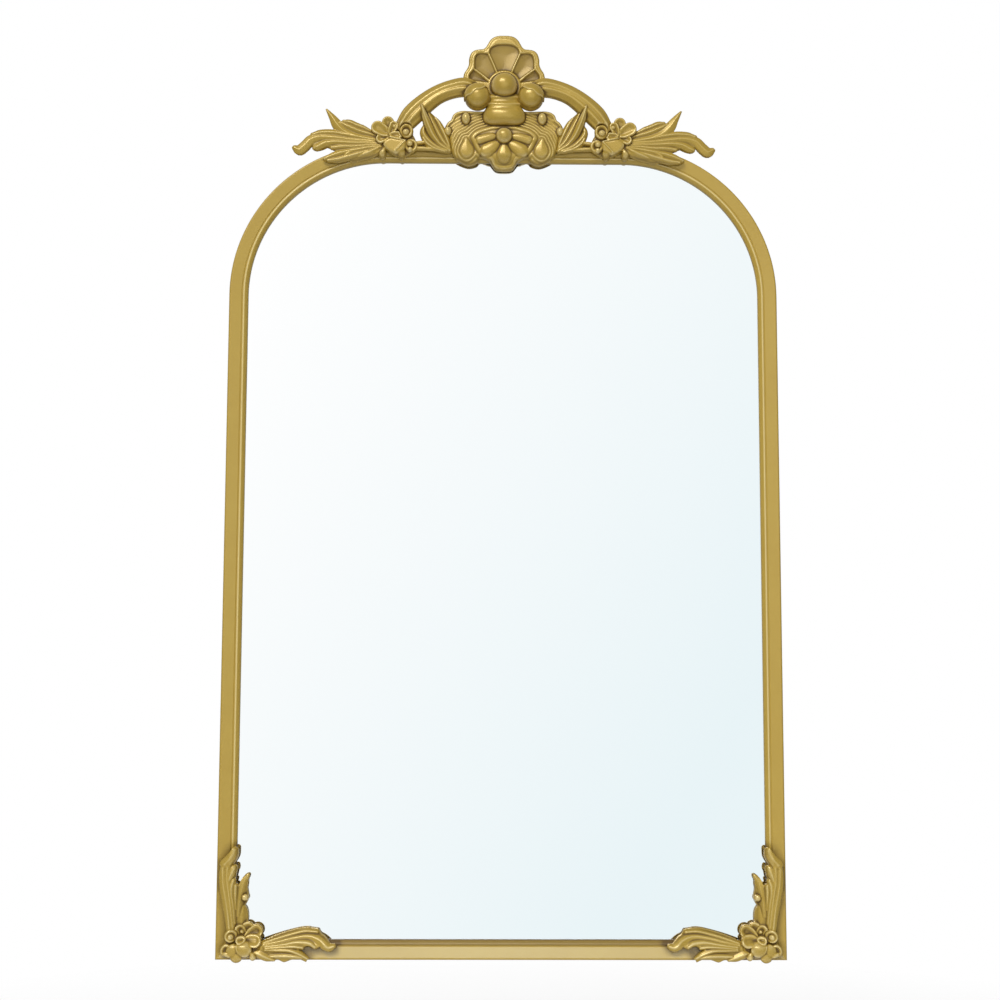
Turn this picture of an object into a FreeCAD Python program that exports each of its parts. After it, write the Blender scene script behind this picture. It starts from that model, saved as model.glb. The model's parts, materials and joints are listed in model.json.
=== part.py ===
# Arched wall mirror: a slim bent frame with square lower corners and rounded shoulders, a carved
# crest on its top and a carved ornament on each lower corner. All lengths are millimetres.
# +X is right, +Z is up and the front faces -Y. The origin is the middle of the bottom rail's underside.
# "Depth" is counted forward from the wall, and "inset" inward from the frame's outer edge.
import FreeCAD, Part
import math
import os
from FreeCAD import Vector

# Frame outline and section
frame_width = 610.0
frame_height = 895.5
shoulder_radius = 173.0
face_width = 20.4
frame_depth = 20.0
frame_wall = 1.6
face_fall = 2.8              # the face slopes back towards the mirror
edge_round = 2.0
groove_inset = 13.4          # fine groove between the flat face and the sight bead
groove_fall = 1.5
bead_rise = 1.3
sight_land = 1.2
rebate_depth = 12.0          # from the frame's rear to the seat of the glass
rebate_inset = 13.8          # from the outer edge to the inner wall of the hollow section
bumper_height = 6.0          # holds the frame off the wall
overrun = 5.0

# Glass and backing
glass_thickness = 4.0
film_thickness = 0.3
board_thickness = 3.0
glass_edge_gap = 1.0
board_edge_gap = 0.6
block_length = 40.0
block_side_gap = 0.2
block_place_share = 0.5      # of the half width

# Corner keys inside the hollow section
key_leg = 38.0
key_depth = 11.0
key_gap = 0.2
key_screw_share = 0.72       # along each leg, from the corner
key_screw_length = 9.0

# Screws
shank_radius = 1.5
head_radius = 2.8
head_height = 1.7
head_edge = 0.6
drive_width = 0.7
drive_length = 3.2
drive_depth = 0.8
screw_gap = 0.05
clearance_gap = 0.2

# Retainer clips
clip_thickness = 1.2
clip_width = 14.0
clip_tab = 9.0
clip_foot = 7.5
clip_wall_gap = 0.3
clip_screw_length = 8.0
clip_screw_share = 0.55      # along the tab, from the wall side
stile_clip_shares = [0.46, 0.74]            # of the straight stile, above the lowest clip
rail_clip_share = 0.45                      # of the half width
top_clip_gap = 33.6          # from the crest screw
shoulder_clip_angle = 45.0

# D-ring hangers
strap_width = 9.0
strap_thickness = 1.2
strap_length = 40.0
strap_edge_gap = 4.6         # from the frame's outer edge
ring_wire_radius = 1.25
ring_half_width = 7.5
ring_corner_radius = 2.6
ring_leg = 6.0
ring_bore_gap = 0.08
ring_lift = 2.8              # pivot axis behind the frame's rear face
hanger_height_share = 0.90   # of the straight stile
hanger_screw_shares = [0.55, 0.85]          # of the strap
hanger_screw_length = 7.0

# Wall bumpers
bumper_radius = 5.5
bumper_top_share = 0.965     # of the straight stile
bumper_screw_gap = 21.0      # lower bumper above the corner ornament's screw
clip_bumper_gap = 32.6       # lowest clip above the lower bumper

# Ornament castings
bond_gap = 0.15              # glue line between casting and frame
glass_gap = 0.4              # casting to glass
ornament_screw_length = 22.5
crest_module = 100.0         # the crest is drawn in shares of this length
corner_module = 100.0        # the corner ornaments are drawn in shares of this length
plate_rise = 5.0             # casting surfaces in front of the frame's outer edge
shell_rise = 6.5
shell_panel_drop = 3.2
shield_rise = 8.0
petal_rise = 4.5
arm_rise = 4.0
arm_crown = 7.0
leaf_rise = 3.5
leaf_crown = 4.5
flower_rise = 4.0
petal_sink = 1.5
lobe_sink = 2.0
ball_radius = 14.3
ball_rise = 9.0              # ball centres in front of the frame's outer edge
collar_radius = 18.5
collar_rise = 8.5
neck_low_radius = 19.0
neck_high_radius = 14.5
bulb_half_width = 22.0
bulb_half_depth = 15.0
bulb_half_height = 11.8
whorl_radius = 12.5
whorl_bead = 3.2
palmette_ball_radius = 7.5
side_bead_radius = 5.2
edge_bead_radius = 4.2
bud_radius = 4.2
flower_eye_radius = 6.0

# Crest drawing, in shares of the crest module: outward from the middle, upward from the frame's top
shell_shares = [(0.095, 1.21), (0.155, 1.17), (0.19, 1.1), (0.225, 1.063), (0.32, 1.05), (0.375, 1.015),
                (0.395, 0.945), (0.395, 0.87), (0.425, 0.815), (0.46, 0.75), (0.43, 0.62), (0.3, 0.5),
                (0.14, 0.45)]
middle_panel_shares = [(0.105, 1.1), (0.13, 1.03), (0.055, 0.82)]
side_panel_shares = [(0.17, 0.985), (0.275, 0.99), (0.31, 0.955), (0.315, 0.845), (0.17, 0.72), (0.085, 0.815)]
plate_shares = [(0.34, 0.355), (0.45, 0.35), (0.53, 0.33), (0.58, 0.29), (0.6, 0.235), (0.65, 0.185),
                (0.665, 0.125), (0.625, 0.06), (0.605, -0.02), (0.59, -0.105), (0.56, -0.195), (0.5, -0.255),
                (0.385, -0.305), (0.3, -0.28), (0.255, -0.22), (0.16, -0.255), (0.125, -0.315), (0.085, -0.35)]
shield_shares = [(0.09, 0.15), (0.2, 0.125), (0.29, 0.085), (0.335, 0.03), (0.315, -0.03), (0.25, -0.16),
                 (0.155, -0.235), (0.09, -0.305)]
ball_shares = (0.0, 0.63)
side_ball_shares = (0.317, 0.505)
neck_shares = (0.37, 0.53)
bulb_share = 0.28
whorl_shares = (0.41, -0.115)
side_bead_shares = (0.425, 0.25)
edge_bead_shares = (0.62, 0.1)
palmette_ball_shares = (0.0, 0.07)
middle_petal_shares = [(0.0, -0.03), (0.0, -0.12), (0.0, -0.21), (0.0, -0.275)]
middle_petal_width_shares = [0.02, 0.055, 0.08, 0.03]
low_petal_shares = [(0.06, -0.02), (0.12, -0.075), (0.18, -0.125), (0.225, -0.16)]
low_petal_width_shares = [0.02, 0.055, 0.065, 0.025]
high_petal_shares = [(0.085, 0.05), (0.16, 0.045), (0.24, 0.03), (0.305, 0.015)]
high_petal_width_shares = [0.02, 0.05, 0.055, 0.02]
arm_shares = [(0.34, 0.6), (0.48, 0.63), (0.62, 0.605), (0.76, 0.54), (0.91, 0.425), (1.02, 0.315), (1.12, 0.18)]
arm_width_shares = [0.09, 0.105, 0.103, 0.105, 0.118, 0.122, 0.1]
side_leaf_shares = [[(0.915, 0.385), (0.895, 0.245), (0.9, 0.175), (0.925, 0.105), (0.91, 0.035), (0.86, -0.025),
                     (0.78, -0.085), (0.68, -0.115), (0.6, -0.125)],
                    [(0.6, -0.125), (0.61, -0.025), (0.66, 0.085), (0.7, 0.185), (0.77, 0.255), (0.83, 0.345),
                     (0.915, 0.385)]]
side_leaf_rib_shares = [(0.63, -0.09), (0.72, 0.0), (0.8, 0.11), (0.86, 0.24), (0.9, 0.35)]
side_leaf_rib_width_shares = [0.03, 0.075, 0.08, 0.045, 0.015]
stem_shares = [(1.04, -0.04), (0.92, -0.045), (0.8, -0.055), (0.66, -0.08)]
stem_width_shares = [0.06, 0.06, 0.06, 0.05]
flower_shares = [(1.495, 0.195), (1.45, 0.235), (1.39, 0.24), (1.36, 0.275), (1.315, 0.29), (1.27, 0.265),
                 (1.2, 0.22), (1.1, 0.21), (1.015, 0.155), (1.01, 0.08), (0.98, 0.0), (0.98, -0.115),
                 (1.06, -0.175), (1.145, -0.205), (1.3, -0.115), (1.36, -0.065), (1.44, 0.005), (1.49, 0.095)]
flower_petal_shares = [(1.4, 0.15, 0.11, 0.085, 35.0), (1.4, 0.055, 0.09, 0.07, -20.0),
                       (1.31, 0.215, 0.075, 0.06, 90.0), (1.1, 0.115, 0.095, 0.085, 170.0),
                       (1.28, -0.06, 0.11, 0.095, -50.0), (1.145, -0.105, 0.095, 0.07, -80.0),
                       (1.05, -0.03, 0.075, 0.065, 200.0)]
flower_eye_shares = (1.25, 0.07)
bud_shares = (1.37, -0.175)
bud_stem_shares = [(1.3, -0.08), (1.345, -0.13), (1.37, -0.175)]
bud_stem_width_shares = [0.02, 0.028, 0.03]
spray_shares = [[(1.42, -0.1), (1.47, -0.165), (1.6, -0.205), (1.7, -0.225), (1.77, -0.195)],
                [(1.77, -0.195), (1.85, -0.235), (1.95, -0.235), (2.03, -0.21)],
                [(2.03, -0.21), (1.96, -0.175), (1.92, -0.14), (1.9, -0.1), (1.98, -0.065)],
                [(1.98, -0.065), (2.03, -0.09), (2.09, -0.105), (2.15, -0.05)],
                [(2.15, -0.05), (2.19, -0.095), (2.24, -0.135), (2.295, -0.15), (2.34, -0.115), (2.365, -0.055)],
                [(2.365, -0.055), (2.29, -0.06), (2.26, -0.045), (2.21, 0.025), (2.17, 0.065)],
                [(2.17, 0.065), (2.14, 0.1), (2.08, 0.12), (1.98, 0.125), (1.89, 0.13)],
                [(1.89, 0.13), (1.93, 0.25), (1.995, 0.37)],
                [(1.995, 0.37), (1.91, 0.29), (1.85, 0.24), (1.78, 0.245), (1.71, 0.235), (1.66, 0.2)],
                [(1.66, 0.2), (1.61, 0.2), (1.56, 0.155), (1.49, 0.125)],
                [(1.49, 0.125), (1.43, 0.02), (1.42, -0.1)]]
spray_rib_shares = [[(1.47, 0.0), (1.65, 0.03), (1.85, 0.03), (2.03, 0.03), (2.18, -0.03), (2.3, -0.1)],
                    [(1.47, -0.1), (1.62, -0.15), (1.8, -0.18), (1.97, -0.205)],
                    [(1.5, 0.07), (1.62, 0.135), (1.75, 0.185), (1.86, 0.2), (1.95, 0.31)]]
spray_rib_width_shares = [[0.06, 0.08, 0.075, 0.07, 0.05, 0.025], [0.045, 0.045, 0.04, 0.015],
                          [0.03, 0.05, 0.045, 0.035, 0.012]]

# Corner drawing, in shares of the corner module: inward from the frame's side, upward from its bottom
upright_leaf_shares = [[(0.15, 0.3), (0.145, 0.45), (0.13, 0.55), (0.1, 0.65), (0.07, 0.75), (0.045, 0.85),
                        (0.045, 0.95), (0.06, 1.005)],
                       [(0.06, 1.005), (0.1, 1.02), (0.15, 1.07), (0.185, 1.12), (0.185, 1.17), (0.22, 1.205)],
                       [(0.22, 1.205), (0.255, 1.175), (0.26, 1.11), (0.24, 1.06), (0.205, 1.01)],
                       [(0.205, 1.01), (0.23, 0.98), (0.245, 0.93), (0.23, 0.87), (0.21, 0.85)],
                       [(0.21, 0.85), (0.235, 0.83), (0.26, 0.8)],
                       [(0.26, 0.8), (0.3, 0.84), (0.325, 0.9), (0.35, 0.905), (0.375, 0.89)],
                       [(0.375, 0.89), (0.355, 0.84), (0.355, 0.78), (0.37, 0.66), (0.335, 0.58)],
                       [(0.335, 0.58), (0.36, 0.53), (0.365, 0.47), (0.36, 0.43), (0.3, 0.3)],
                       [(0.3, 0.3), (0.15, 0.3)]]
level_leaf_shares = [[(0.48, 0.18), (0.65, 0.245), (0.8, 0.29), (0.93, 0.32), (1.05, 0.325), (1.1, 0.31)],
                     [(1.1, 0.31), (1.135, 0.265), (1.18, 0.235), (1.22, 0.185), (1.25, 0.165), (1.28, 0.18)],
                     [(1.28, 0.18), (1.27, 0.125), (1.22, 0.095), (1.17, 0.11), (1.13, 0.15)],
                     [(1.13, 0.15), (1.06, 0.12), (1.0, 0.16)],
                     [(1.0, 0.16), (0.95, 0.14), (0.89, 0.12)],
                     [(0.89, 0.12), (0.95, 0.08), (0.985, 0.04), (0.995, 0.01)],
                     [(0.995, 0.01), (0.9, 0.025), (0.75, 0.015), (0.6, 0.022), (0.45, 0.04)],
                     [(0.45, 0.04), (0.48, 0.18)]]
corner_flower_shares = [(0.15, 0.33), (0.105, 0.27), (0.1, 0.21), (0.08, 0.14), (0.075, 0.08), (0.12, 0.045),
                        (0.2, 0.02), (0.27, 0.018), (0.36, 0.03), (0.46, 0.06), (0.51, 0.15), (0.51, 0.22),
                        (0.525, 0.3), (0.49, 0.37), (0.43, 0.39), (0.38, 0.415), (0.27, 0.38)]
corner_rib_shares = [[(0.24, 0.3), (0.24, 0.5), (0.2, 0.7), (0.145, 0.88), (0.165, 1.02), (0.215, 1.13)],
                     [(0.305, 0.38), (0.315, 0.6), (0.31, 0.75), (0.34, 0.87)],
                     [(0.48, 0.13), (0.7, 0.175), (0.92, 0.22), (1.08, 0.22), (1.2, 0.16)],
                     [(0.5, 0.07), (0.7, 0.062), (0.88, 0.055), (0.96, 0.03)]]
corner_rib_width_shares = [[0.07, 0.08, 0.08, 0.07, 0.045, 0.02], [0.04, 0.04, 0.035, 0.015],
                           [0.05, 0.06, 0.075, 0.05, 0.025], [0.03, 0.035, 0.03, 0.012]]
corner_petal_shares = [(0.35, 0.34, 0.09, 0.07, 100.0), (0.44, 0.29, 0.1, 0.09, 35.0), (0.44, 0.19, 0.09, 0.07, 0.0),
                       (0.185, 0.255, 0.09, 0.085, 170.0), (0.145, 0.125, 0.085, 0.07, 200.0),
                       (0.25, 0.09, 0.085, 0.065, 250.0), (0.34, 0.13, 0.1, 0.09, -45.0)]
corner_eye_shares = (0.29, 0.22)
corner_bud_shares = (0.43, 0.05)

# Screw places: outward or upward, in shares of the module that the casting is drawn in
crest_screw_share = 0.35
spray_screw_share = 1.2
spray_shoulder_angle = 12.0
corner_screw_share = 0.62

# Worked out from the sizes above
half_width = frame_width / 2
rear_depth = bumper_height
front_depth = rear_depth + frame_depth
datum_depth = rear_depth + frame_depth / 2
glass_front = rear_depth + rebate_depth
glass_back = glass_front - glass_thickness
film_back = glass_back - film_thickness
board_back = film_back - board_thickness
casting_back = glass_front + glass_gap
stile_straight = frame_height - shoulder_radius
top_straight = half_width - shoulder_radius
hollow_outer = frame_wall
hollow_inner = rebate_inset - frame_wall
box_middle = (hollow_outer + hollow_inner) / 2
pivot_depth = rear_depth - ring_lift
pivot_height = stile_straight * hanger_height_share
hanger_inset = strap_edge_gap + strap_width / 2
crest_screw_out = crest_module * crest_screw_share
corner_screw_along = corner_module * corner_screw_share
bumper_heights = [corner_screw_along + bumper_screw_gap, stile_straight * bumper_top_share]
forward = Vector(0, -1, 0)


def at(x, depth, z):
    return Vector(x, datum_depth - depth, z)


def mirrored(shape):
    return shape.mirror(Vector(0, 0, 0), Vector(1, 0, 0))


def fused(shapes):
    return shapes[0].fuse(shapes[1:]).removeSplitter()


def rod(x, z, back, front, radius):
    return Part.makeCylinder(radius, front - back, at(x, back, z), forward)


def cuboid(x_low, x_high, back, front, z_low, z_high):
    return Part.makeBox(x_high - x_low, front - back, z_high - z_low, at(x_low, front, z_low))


# Frame section: points are (inset, depth)
def face_depth(inset):
    return front_depth - face_fall * inset / groove_inset


def section_edges(place, grow):
    outer_low = place(-grow, rear_depth - grow)
    outer_high = place(-grow, front_depth - edge_round + grow)
    round_share = math.sqrt(0.5)
    round_middle = place(edge_round * (1 - round_share) - grow, front_depth - edge_round * (1 - round_share) + grow)
    face_start = place(edge_round, face_depth(edge_round) + grow)
    face_end = place(groove_inset, face_depth(groove_inset) + grow)
    bead_start = place(groove_inset, face_depth(groove_inset) - groove_fall + grow)
    bead_middle_inset = (groove_inset + face_width) / 2
    bead_middle = place(bead_middle_inset, face_depth(groove_inset) - groove_fall + bead_rise + grow)
    sight_high = place(face_width + grow, glass_front + sight_land)
    sight_low = place(face_width + grow, glass_front)
    lip_back = place(rebate_inset, glass_front)
    web_back = place(rebate_inset, rear_depth - grow)
    return [Part.makeLine(outer_low, outer_high),
            Part.Arc(outer_high, round_middle, face_start).toShape(),
            Part.makeLine(face_start, face_end),
            Part.makeLine(face_end, bead_start),
            Part.Arc(bead_start, bead_middle, sight_high).toShape(),
            Part.makeLine(sight_high, sight_low),
            Part.makeLine(sight_low, lip_back),
            Part.makeLine(lip_back, web_back),
            Part.makeLine(web_back, outer_low)]


def section_face(place, grow=0):
    outer = Part.Wire(section_edges(place, grow))
    if grow:
        return Part.Face(outer)
    low = rear_depth + frame_wall
    high_outer = face_depth(hollow_outer) - frame_wall
    high_inner = face_depth(hollow_inner) - frame_wall
    corners = [place(hollow_outer, low), place(hollow_inner, low), place(hollow_inner, high_inner),
               place(hollow_outer, high_outer), place(hollow_outer, low)]
    return Part.Face([outer, Part.makePolygon(corners)])


def arch_sweep(grow=0):
    def stile_place(inset, depth):
        return at(-half_width + inset, depth, 0)
    face = section_face(stile_place, grow)
    stile = face.extrude(Vector(0, 0, stile_straight))
    face.translate(Vector(0, 0, stile_straight))
    centre = Vector(-top_straight, 0, stile_straight)
    shoulder = face.revolve(centre, Vector(0, 1, 0), 90)
    face.rotate(centre, Vector(0, 1, 0), 90)
    half_top = face.extrude(Vector(top_straight, 0, 0))
    half = [stile, shoulder, half_top]
    return fused(half + [mirrored(piece) for piece in half])


def rail_sweep(grow=0):
    def rail_place(inset, depth):
        return at(-half_width, depth, inset)
    return section_face(rail_place, grow).extrude(Vector(frame_width, 0, 0))


def mitre_prism():
    reach = face_width + overrun
    corners = [(-half_width - overrun, -overrun), (half_width + overrun, -overrun), (half_width - reach, reach),
               (-half_width + reach, reach)]
    points = [at(x, 0, z) for x, z in corners]
    face = Part.Face(Part.makePolygon(points + points[:1]))
    return face.extrude(forward * (front_depth + overrun))


# Places of the fasteners on the frame's rear, as (x, z)
def shoulder_point(inset, angle):
    radius = shoulder_radius - inset
    turn = math.radians(angle)
    return (-top_straight - radius * math.sin(turn), stile_straight + radius * math.cos(turn))


def top_point(inset, out):
    radius = shoulder_radius - inset
    past = max(out - top_straight, 0)
    return (-out, stile_straight + math.sqrt(radius ** 2 - past ** 2))


def both_sides(places):
    return places + [(-x, z) for x, z in places]


def key_screw_places():
    along = hollow_outer + key_leg * key_screw_share
    return both_sides([(-half_width + box_middle, along), (-half_width + along, box_middle)])


def crest_screw_places():
    return both_sides([top_point(box_middle, crest_screw_out)])


def spray_screw_places():
    first = top_point(box_middle, crest_module * spray_screw_share)
    return both_sides([first, shoulder_point(box_middle, spray_shoulder_angle)])


def corner_screw_places():
    return both_sides([(-half_width + box_middle, corner_screw_along),
                       (-half_width + corner_screw_along, box_middle)])


def hanger_screw_places():
    x = -half_width + hanger_inset
    return both_sides([(x, pivot_height - strap_length * share) for share in hanger_screw_shares])


def clip_turns():
    # each clip is drawn on the left stile and then turned about the middle of its own shoulder or edge
    turns = [("stile", bumper_heights[0] + clip_bumper_gap)]
    turns += [("stile", stile_straight * share) for share in stile_clip_shares]
    return turns + [("shoulder", shoulder_clip_angle), ("top", crest_screw_out + top_clip_gap),
                    ("rail", half_width * rail_clip_share)]


# Screws: pan heads with a cross drive, pointing forward
def screw(x, z, seat, length):
    shank = rod(x, z, seat, seat + length, shank_radius)
    head = rod(x, z, seat - head_height, seat, head_radius)
    rim = [edge for edge in head.Edges if abs(edge.CenterOfMass.y - (datum_depth - seat + head_height)) < screw_gap]
    head = head.makeFillet(head_edge, rim[:1])
    half_long = drive_length / 2
    half_wide = drive_width / 2
    low = seat - head_height - screw_gap
    high = seat - head_height + drive_depth
    level = cuboid(x - half_long, x + half_long, low, high, z - half_wide, z + half_wide)
    upright = cuboid(x - half_wide, x + half_wide, low, high, z - half_long, z + half_long)
    return head.cut([level, upright]).fuse(shank)


def screw_group(places, seat, length):
    return Part.makeCompound([screw(x, z, seat, length) for x, z in places])


def holes(places, back, front, gap):
    return [rod(x, z, back, front, shank_radius + gap) for x, z in places]


# Retainer clips: Z-bent plates that press the backing board forward
def stile_clip(z):
    wall = -half_width + rebate_inset + clip_wall_gap
    tab_back = rear_depth - clip_thickness
    outline = [(wall - clip_tab, rear_depth), (wall - clip_tab, tab_back), (wall + clip_thickness, tab_back),
               (wall + clip_thickness, board_back - clip_thickness), (wall + clip_foot, board_back - clip_thickness),
               (wall + clip_foot, board_back), (wall, board_back), (wall, rear_depth)]
    points = [at(x, depth, z - clip_width / 2) for x, depth in outline]
    plate = Part.Face(Part.makePolygon(points + points[:1])).extrude(Vector(0, 0, clip_width))
    hole_x = wall - clip_tab * clip_screw_share
    hole = rod(hole_x, z, tab_back - overrun, rear_depth + overrun, shank_radius + clearance_gap)
    return plate.cut(hole), (hole_x, z)


def turned_clip(kind, place):
    if kind == "stile":
        return stile_clip(place)
    clip, (x, z) = stile_clip(stile_straight)
    if kind == "shoulder":
        centre = Vector(-top_straight, 0, stile_straight)
        clip.rotate(centre, Vector(0, 1, 0), 90 - place)
        return clip, shoulder_point(x + half_width, place)
    inset = x + half_width
    if kind == "top":
        centre = Vector(-top_straight, 0, stile_straight)
        clip.rotate(centre, Vector(0, 1, 0), 90)
        clip.translate(Vector(top_straight - place, 0, 0))
        return clip, (-place, frame_height - inset)
    centre = Vector(-half_width, 0, 0)
    clip.translate(Vector(0, 0, -stile_straight))
    clip.rotate(centre, Vector(0, 1, 0), -90)
    clip.translate(Vector(half_width - place, 0, 0))
    return clip, (-place, inset)


def clips_and_places():
    made = [turned_clip(kind, place) for kind, place in clip_turns()]
    clips = [clip for clip, place in made]
    places = both_sides([place for clip, place in made])
    return Part.makeCompound(clips + [mirrored(clip) for clip in clips]), places


# Panes follow the arch at a given inset
def pane(inset, back, front):
    radius = shoulder_radius - inset
    side = half_width - inset
    top = frame_height - inset
    slant = radius * math.sqrt(0.5)
    left = Part.Arc(at(-side, back, stile_straight), at(-top_straight - slant, back, stile_straight + slant),
                    at(-top_straight, back, top)).toShape()
    right = Part.Arc(at(top_straight, back, top), at(top_straight + slant, back, stile_straight + slant),
                     at(side, back, stile_straight)).toShape()
    edges = [Part.makeLine(at(-side, back, inset), at(-side, back, stile_straight)), left,
             Part.makeLine(at(-top_straight, back, top), at(top_straight, back, top)), right,
             Part.makeLine(at(side, back, stile_straight), at(side, back, inset)),
             Part.makeLine(at(side, back, inset), at(-side, back, inset))]
    return Part.Face(Part.Wire(edges)).extrude(forward * (front - back))


def setting_blocks():
    middle = half_width * block_place_share
    low = glass_back + block_side_gap
    high = glass_front - block_side_gap
    block = cuboid(-middle - block_length / 2, -middle + block_length / 2, low, high, rebate_inset,
                   rebate_inset + glass_edge_gap)
    return Part.makeCompound([block, mirrored(block)])


def corner_key():
    low = rear_depth + frame_wall + key_gap
    near = hollow_outer + key_gap
    far = hollow_inner - key_gap
    end = hollow_outer + key_leg
    x = -half_width
    upright = cuboid(x + near, x + far, low, low + key_depth, near, end)
    level = cuboid(x + near, x + end, low, low + key_depth, near, far)
    key = fused([upright, level])
    return key.cut(holes(key_screw_places(), rear_depth, rear_depth + key_screw_length + clearance_gap, screw_gap))


# D-ring hangers
def hanger_strap():
    x_low = -half_width + strap_edge_gap
    x_high = x_low + strap_width
    bore = ring_wire_radius + ring_bore_gap
    axis = Vector(1, 0, 0)
    start = at(x_low, pivot_depth, pivot_height)
    loop = Part.makeCylinder(bore + strap_thickness, strap_width, start, axis)
    plate = cuboid(x_low, x_high, rear_depth - strap_thickness, rear_depth, pivot_height - strap_length, pivot_height)
    strap = fused([plate, loop])
    bore_start = at(x_low - overrun, pivot_depth, pivot_height)
    strap = strap.cut(Part.makeCylinder(bore, strap_width + overrun * 2, bore_start, axis))
    return strap.cut(holes(hanger_screw_places(), rear_depth - overrun, rear_depth + overrun, clearance_gap))


def ring_bend(x, z, start, angle):
    # a bent stretch of round wire: a circle at start, turned about (x, z)
    circle = Part.makeCircle(ring_wire_radius, start, Vector(1, 0, 0) if start.z != z else Vector(0, 0, 1))
    return Part.Face(Part.Wire(circle)).revolve(at(x, pivot_depth, z), Vector(0, 1, 0), angle)


def d_ring():
    middle = -half_width + hanger_inset
    straight = ring_half_width - ring_corner_radius
    top = pivot_height
    knee = top - ring_corner_radius
    low = knee - ring_leg
    bar = Part.makeCylinder(ring_wire_radius, straight * 2, at(middle - straight, pivot_depth, top), Vector(1, 0, 0))
    pieces = [bar]
    for side in (-1, 1):
        pieces.append(ring_bend(middle + side * straight, knee, at(middle + side * straight, pivot_depth, top),
                                side * 90))
        pieces.append(Part.makeCylinder(ring_wire_radius, ring_leg, at(middle + side * ring_half_width, pivot_depth, low),
                                        Vector(0, 0, 1)))
    pieces.append(ring_bend(middle, low, at(middle - ring_half_width, pivot_depth, low), -180))
    return fused(pieces)


def wall_bumpers():
    x = -half_width + box_middle
    places = both_sides([(x, height) for height in bumper_heights])
    return Part.makeCompound([rod(px, pz, 0, rear_depth, bumper_radius) for px, pz in places])


# Casting shapes: a drawing point is turned into a place by its own map
def crest_place(out, up):
    return (-crest_module * out, frame_height + crest_module * up)


def corner_place(inward, up):
    return (-half_width + corner_module * inward, corner_module * up)


def run_edge(points):
    if len(points) == 2:
        return Part.makeLine(points[0], points[1])
    curve = Part.BSplineCurve()
    curve.interpolate(points)
    return curve.toShape()


def run_plate(runs, place, back, front):
    edges = [run_edge([at(place(*p)[0], back, place(*p)[1]) for p in run]) for run in runs]
    return Part.Face(Part.Wire(edges)).extrude(forward * (front - back))


def loop_plate(shares, place, back, front):
    curve = Part.BSplineCurve()
    curve.interpolate([at(place(*p)[0], back, place(*p)[1]) for p in shares], PeriodicFlag=True)
    return Part.Face(Part.Wire(curve.toShape())).extrude(forward * (front - back))


def whole(half_shares):
    return half_shares + [(-out, up) for out, up in reversed(half_shares)]


def lobe(shares, width_shares, module, place, back, base, crown):
    # a rounded leaf, petal or arm: flat back, straight sides up to base, then an arc
    middles = [place(*p) for p in shares]
    wires = []
    for i, (x, z) in enumerate(middles):
        before = middles[max(i - 1, 0)]
        after = middles[min(i + 1, len(middles) - 1)]
        run = math.hypot(after[0] - before[0], after[1] - before[1])
        half = module * width_shares[i]
        side_x = -(after[1] - before[1]) / run * half
        side_z = (after[0] - before[0]) / run * half
        rise = crown * width_shares[i] / max(width_shares)
        left_back = at(x - side_x, back, z - side_z)
        left_base = at(x - side_x, base, z - side_z)
        right_base = at(x + side_x, base, z + side_z)
        right_back = at(x + side_x, back, z + side_z)
        arc = Part.Arc(left_base, at(x, base + rise, z), right_base).toShape()
        wires.append(Part.Wire([Part.makeLine(left_back, left_base), arc, Part.makeLine(right_base, right_back),
                                Part.makeLine(right_back, left_back)]))
    return Part.makeLoft(wires, True, False)


def ball(place_shares, place, depth, radius):
    x, z = place(*place_shares)
    return Part.makeSphere(radius, at(x, depth, z))


def swelling(x, depth, z, half_x, half_depth, half_z, turn=0):
    # an ellipsoid, turned in the plane of the wall
    shape = Part.makeSphere(1)
    matrix = FreeCAD.Matrix()
    matrix.scale(half_x, half_depth, half_z)
    shape = shape.transformGeometry(matrix)
    shape.rotate(Vector(0, 0, 0), Vector(0, 1, 0), turn)
    shape.translate(at(x, depth, z))
    return shape


def petals(table, module, place, depth, rise):
    shapes = []
    for out, up, half_long, half_wide, turn in table:
        x, z = place(out, up)
        shapes.append(swelling(x, depth, z, module * half_long, rise, module * half_wide, turn))
    return shapes


def frame_envelope():
    return fused([arch_sweep(bond_gap), rail_sweep(bond_gap)])


def seated(casting, envelope, screw_places):
    # cut to the flat casting back, to the frame it is glued over and to its screws
    tip = rear_depth + ornament_screw_length + clearance_gap
    behind = cuboid(-frame_width, frame_width, 0, casting_back, 0, frame_height * 2)
    return casting.cut([behind, envelope] + holes(screw_places, rear_depth, tip, screw_gap))


def crest_shell():
    front = front_depth + shell_rise
    shell = loop_plate(whole(shell_shares), crest_place, casting_back, front)
    floor = front - shell_panel_drop
    side = side_panel_shares
    cuts = []
    for outline in (whole(middle_panel_shares), side, [(-out, up) for out, up in side]):
        points = [at(crest_place(*p)[0], floor, crest_place(*p)[1]) for p in outline]
        cuts.append(Part.Face(Part.makePolygon(points + points[:1])).extrude(forward * (shell_panel_drop + overrun)))
    return shell.cut(cuts)


def crest_urn():
    x, z = crest_place(*ball_shares)
    collar = rod(x, z, casting_back, front_depth + collar_rise, collar_radius)
    middle = ball(ball_shares, crest_place, front_depth + ball_rise, ball_radius)
    low, high = (crest_place(0, share)[1] for share in neck_shares)
    neck = Part.makeCone(neck_low_radius, neck_high_radius, high - low, at(0, front_depth, low), Vector(0, 0, 1))
    bulb_z = crest_place(0, bulb_share)[1]
    bulb = swelling(0, front_depth + lobe_sink, bulb_z, bulb_half_width, bulb_half_depth, bulb_half_height)
    return [collar, middle, neck, bulb]


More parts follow.
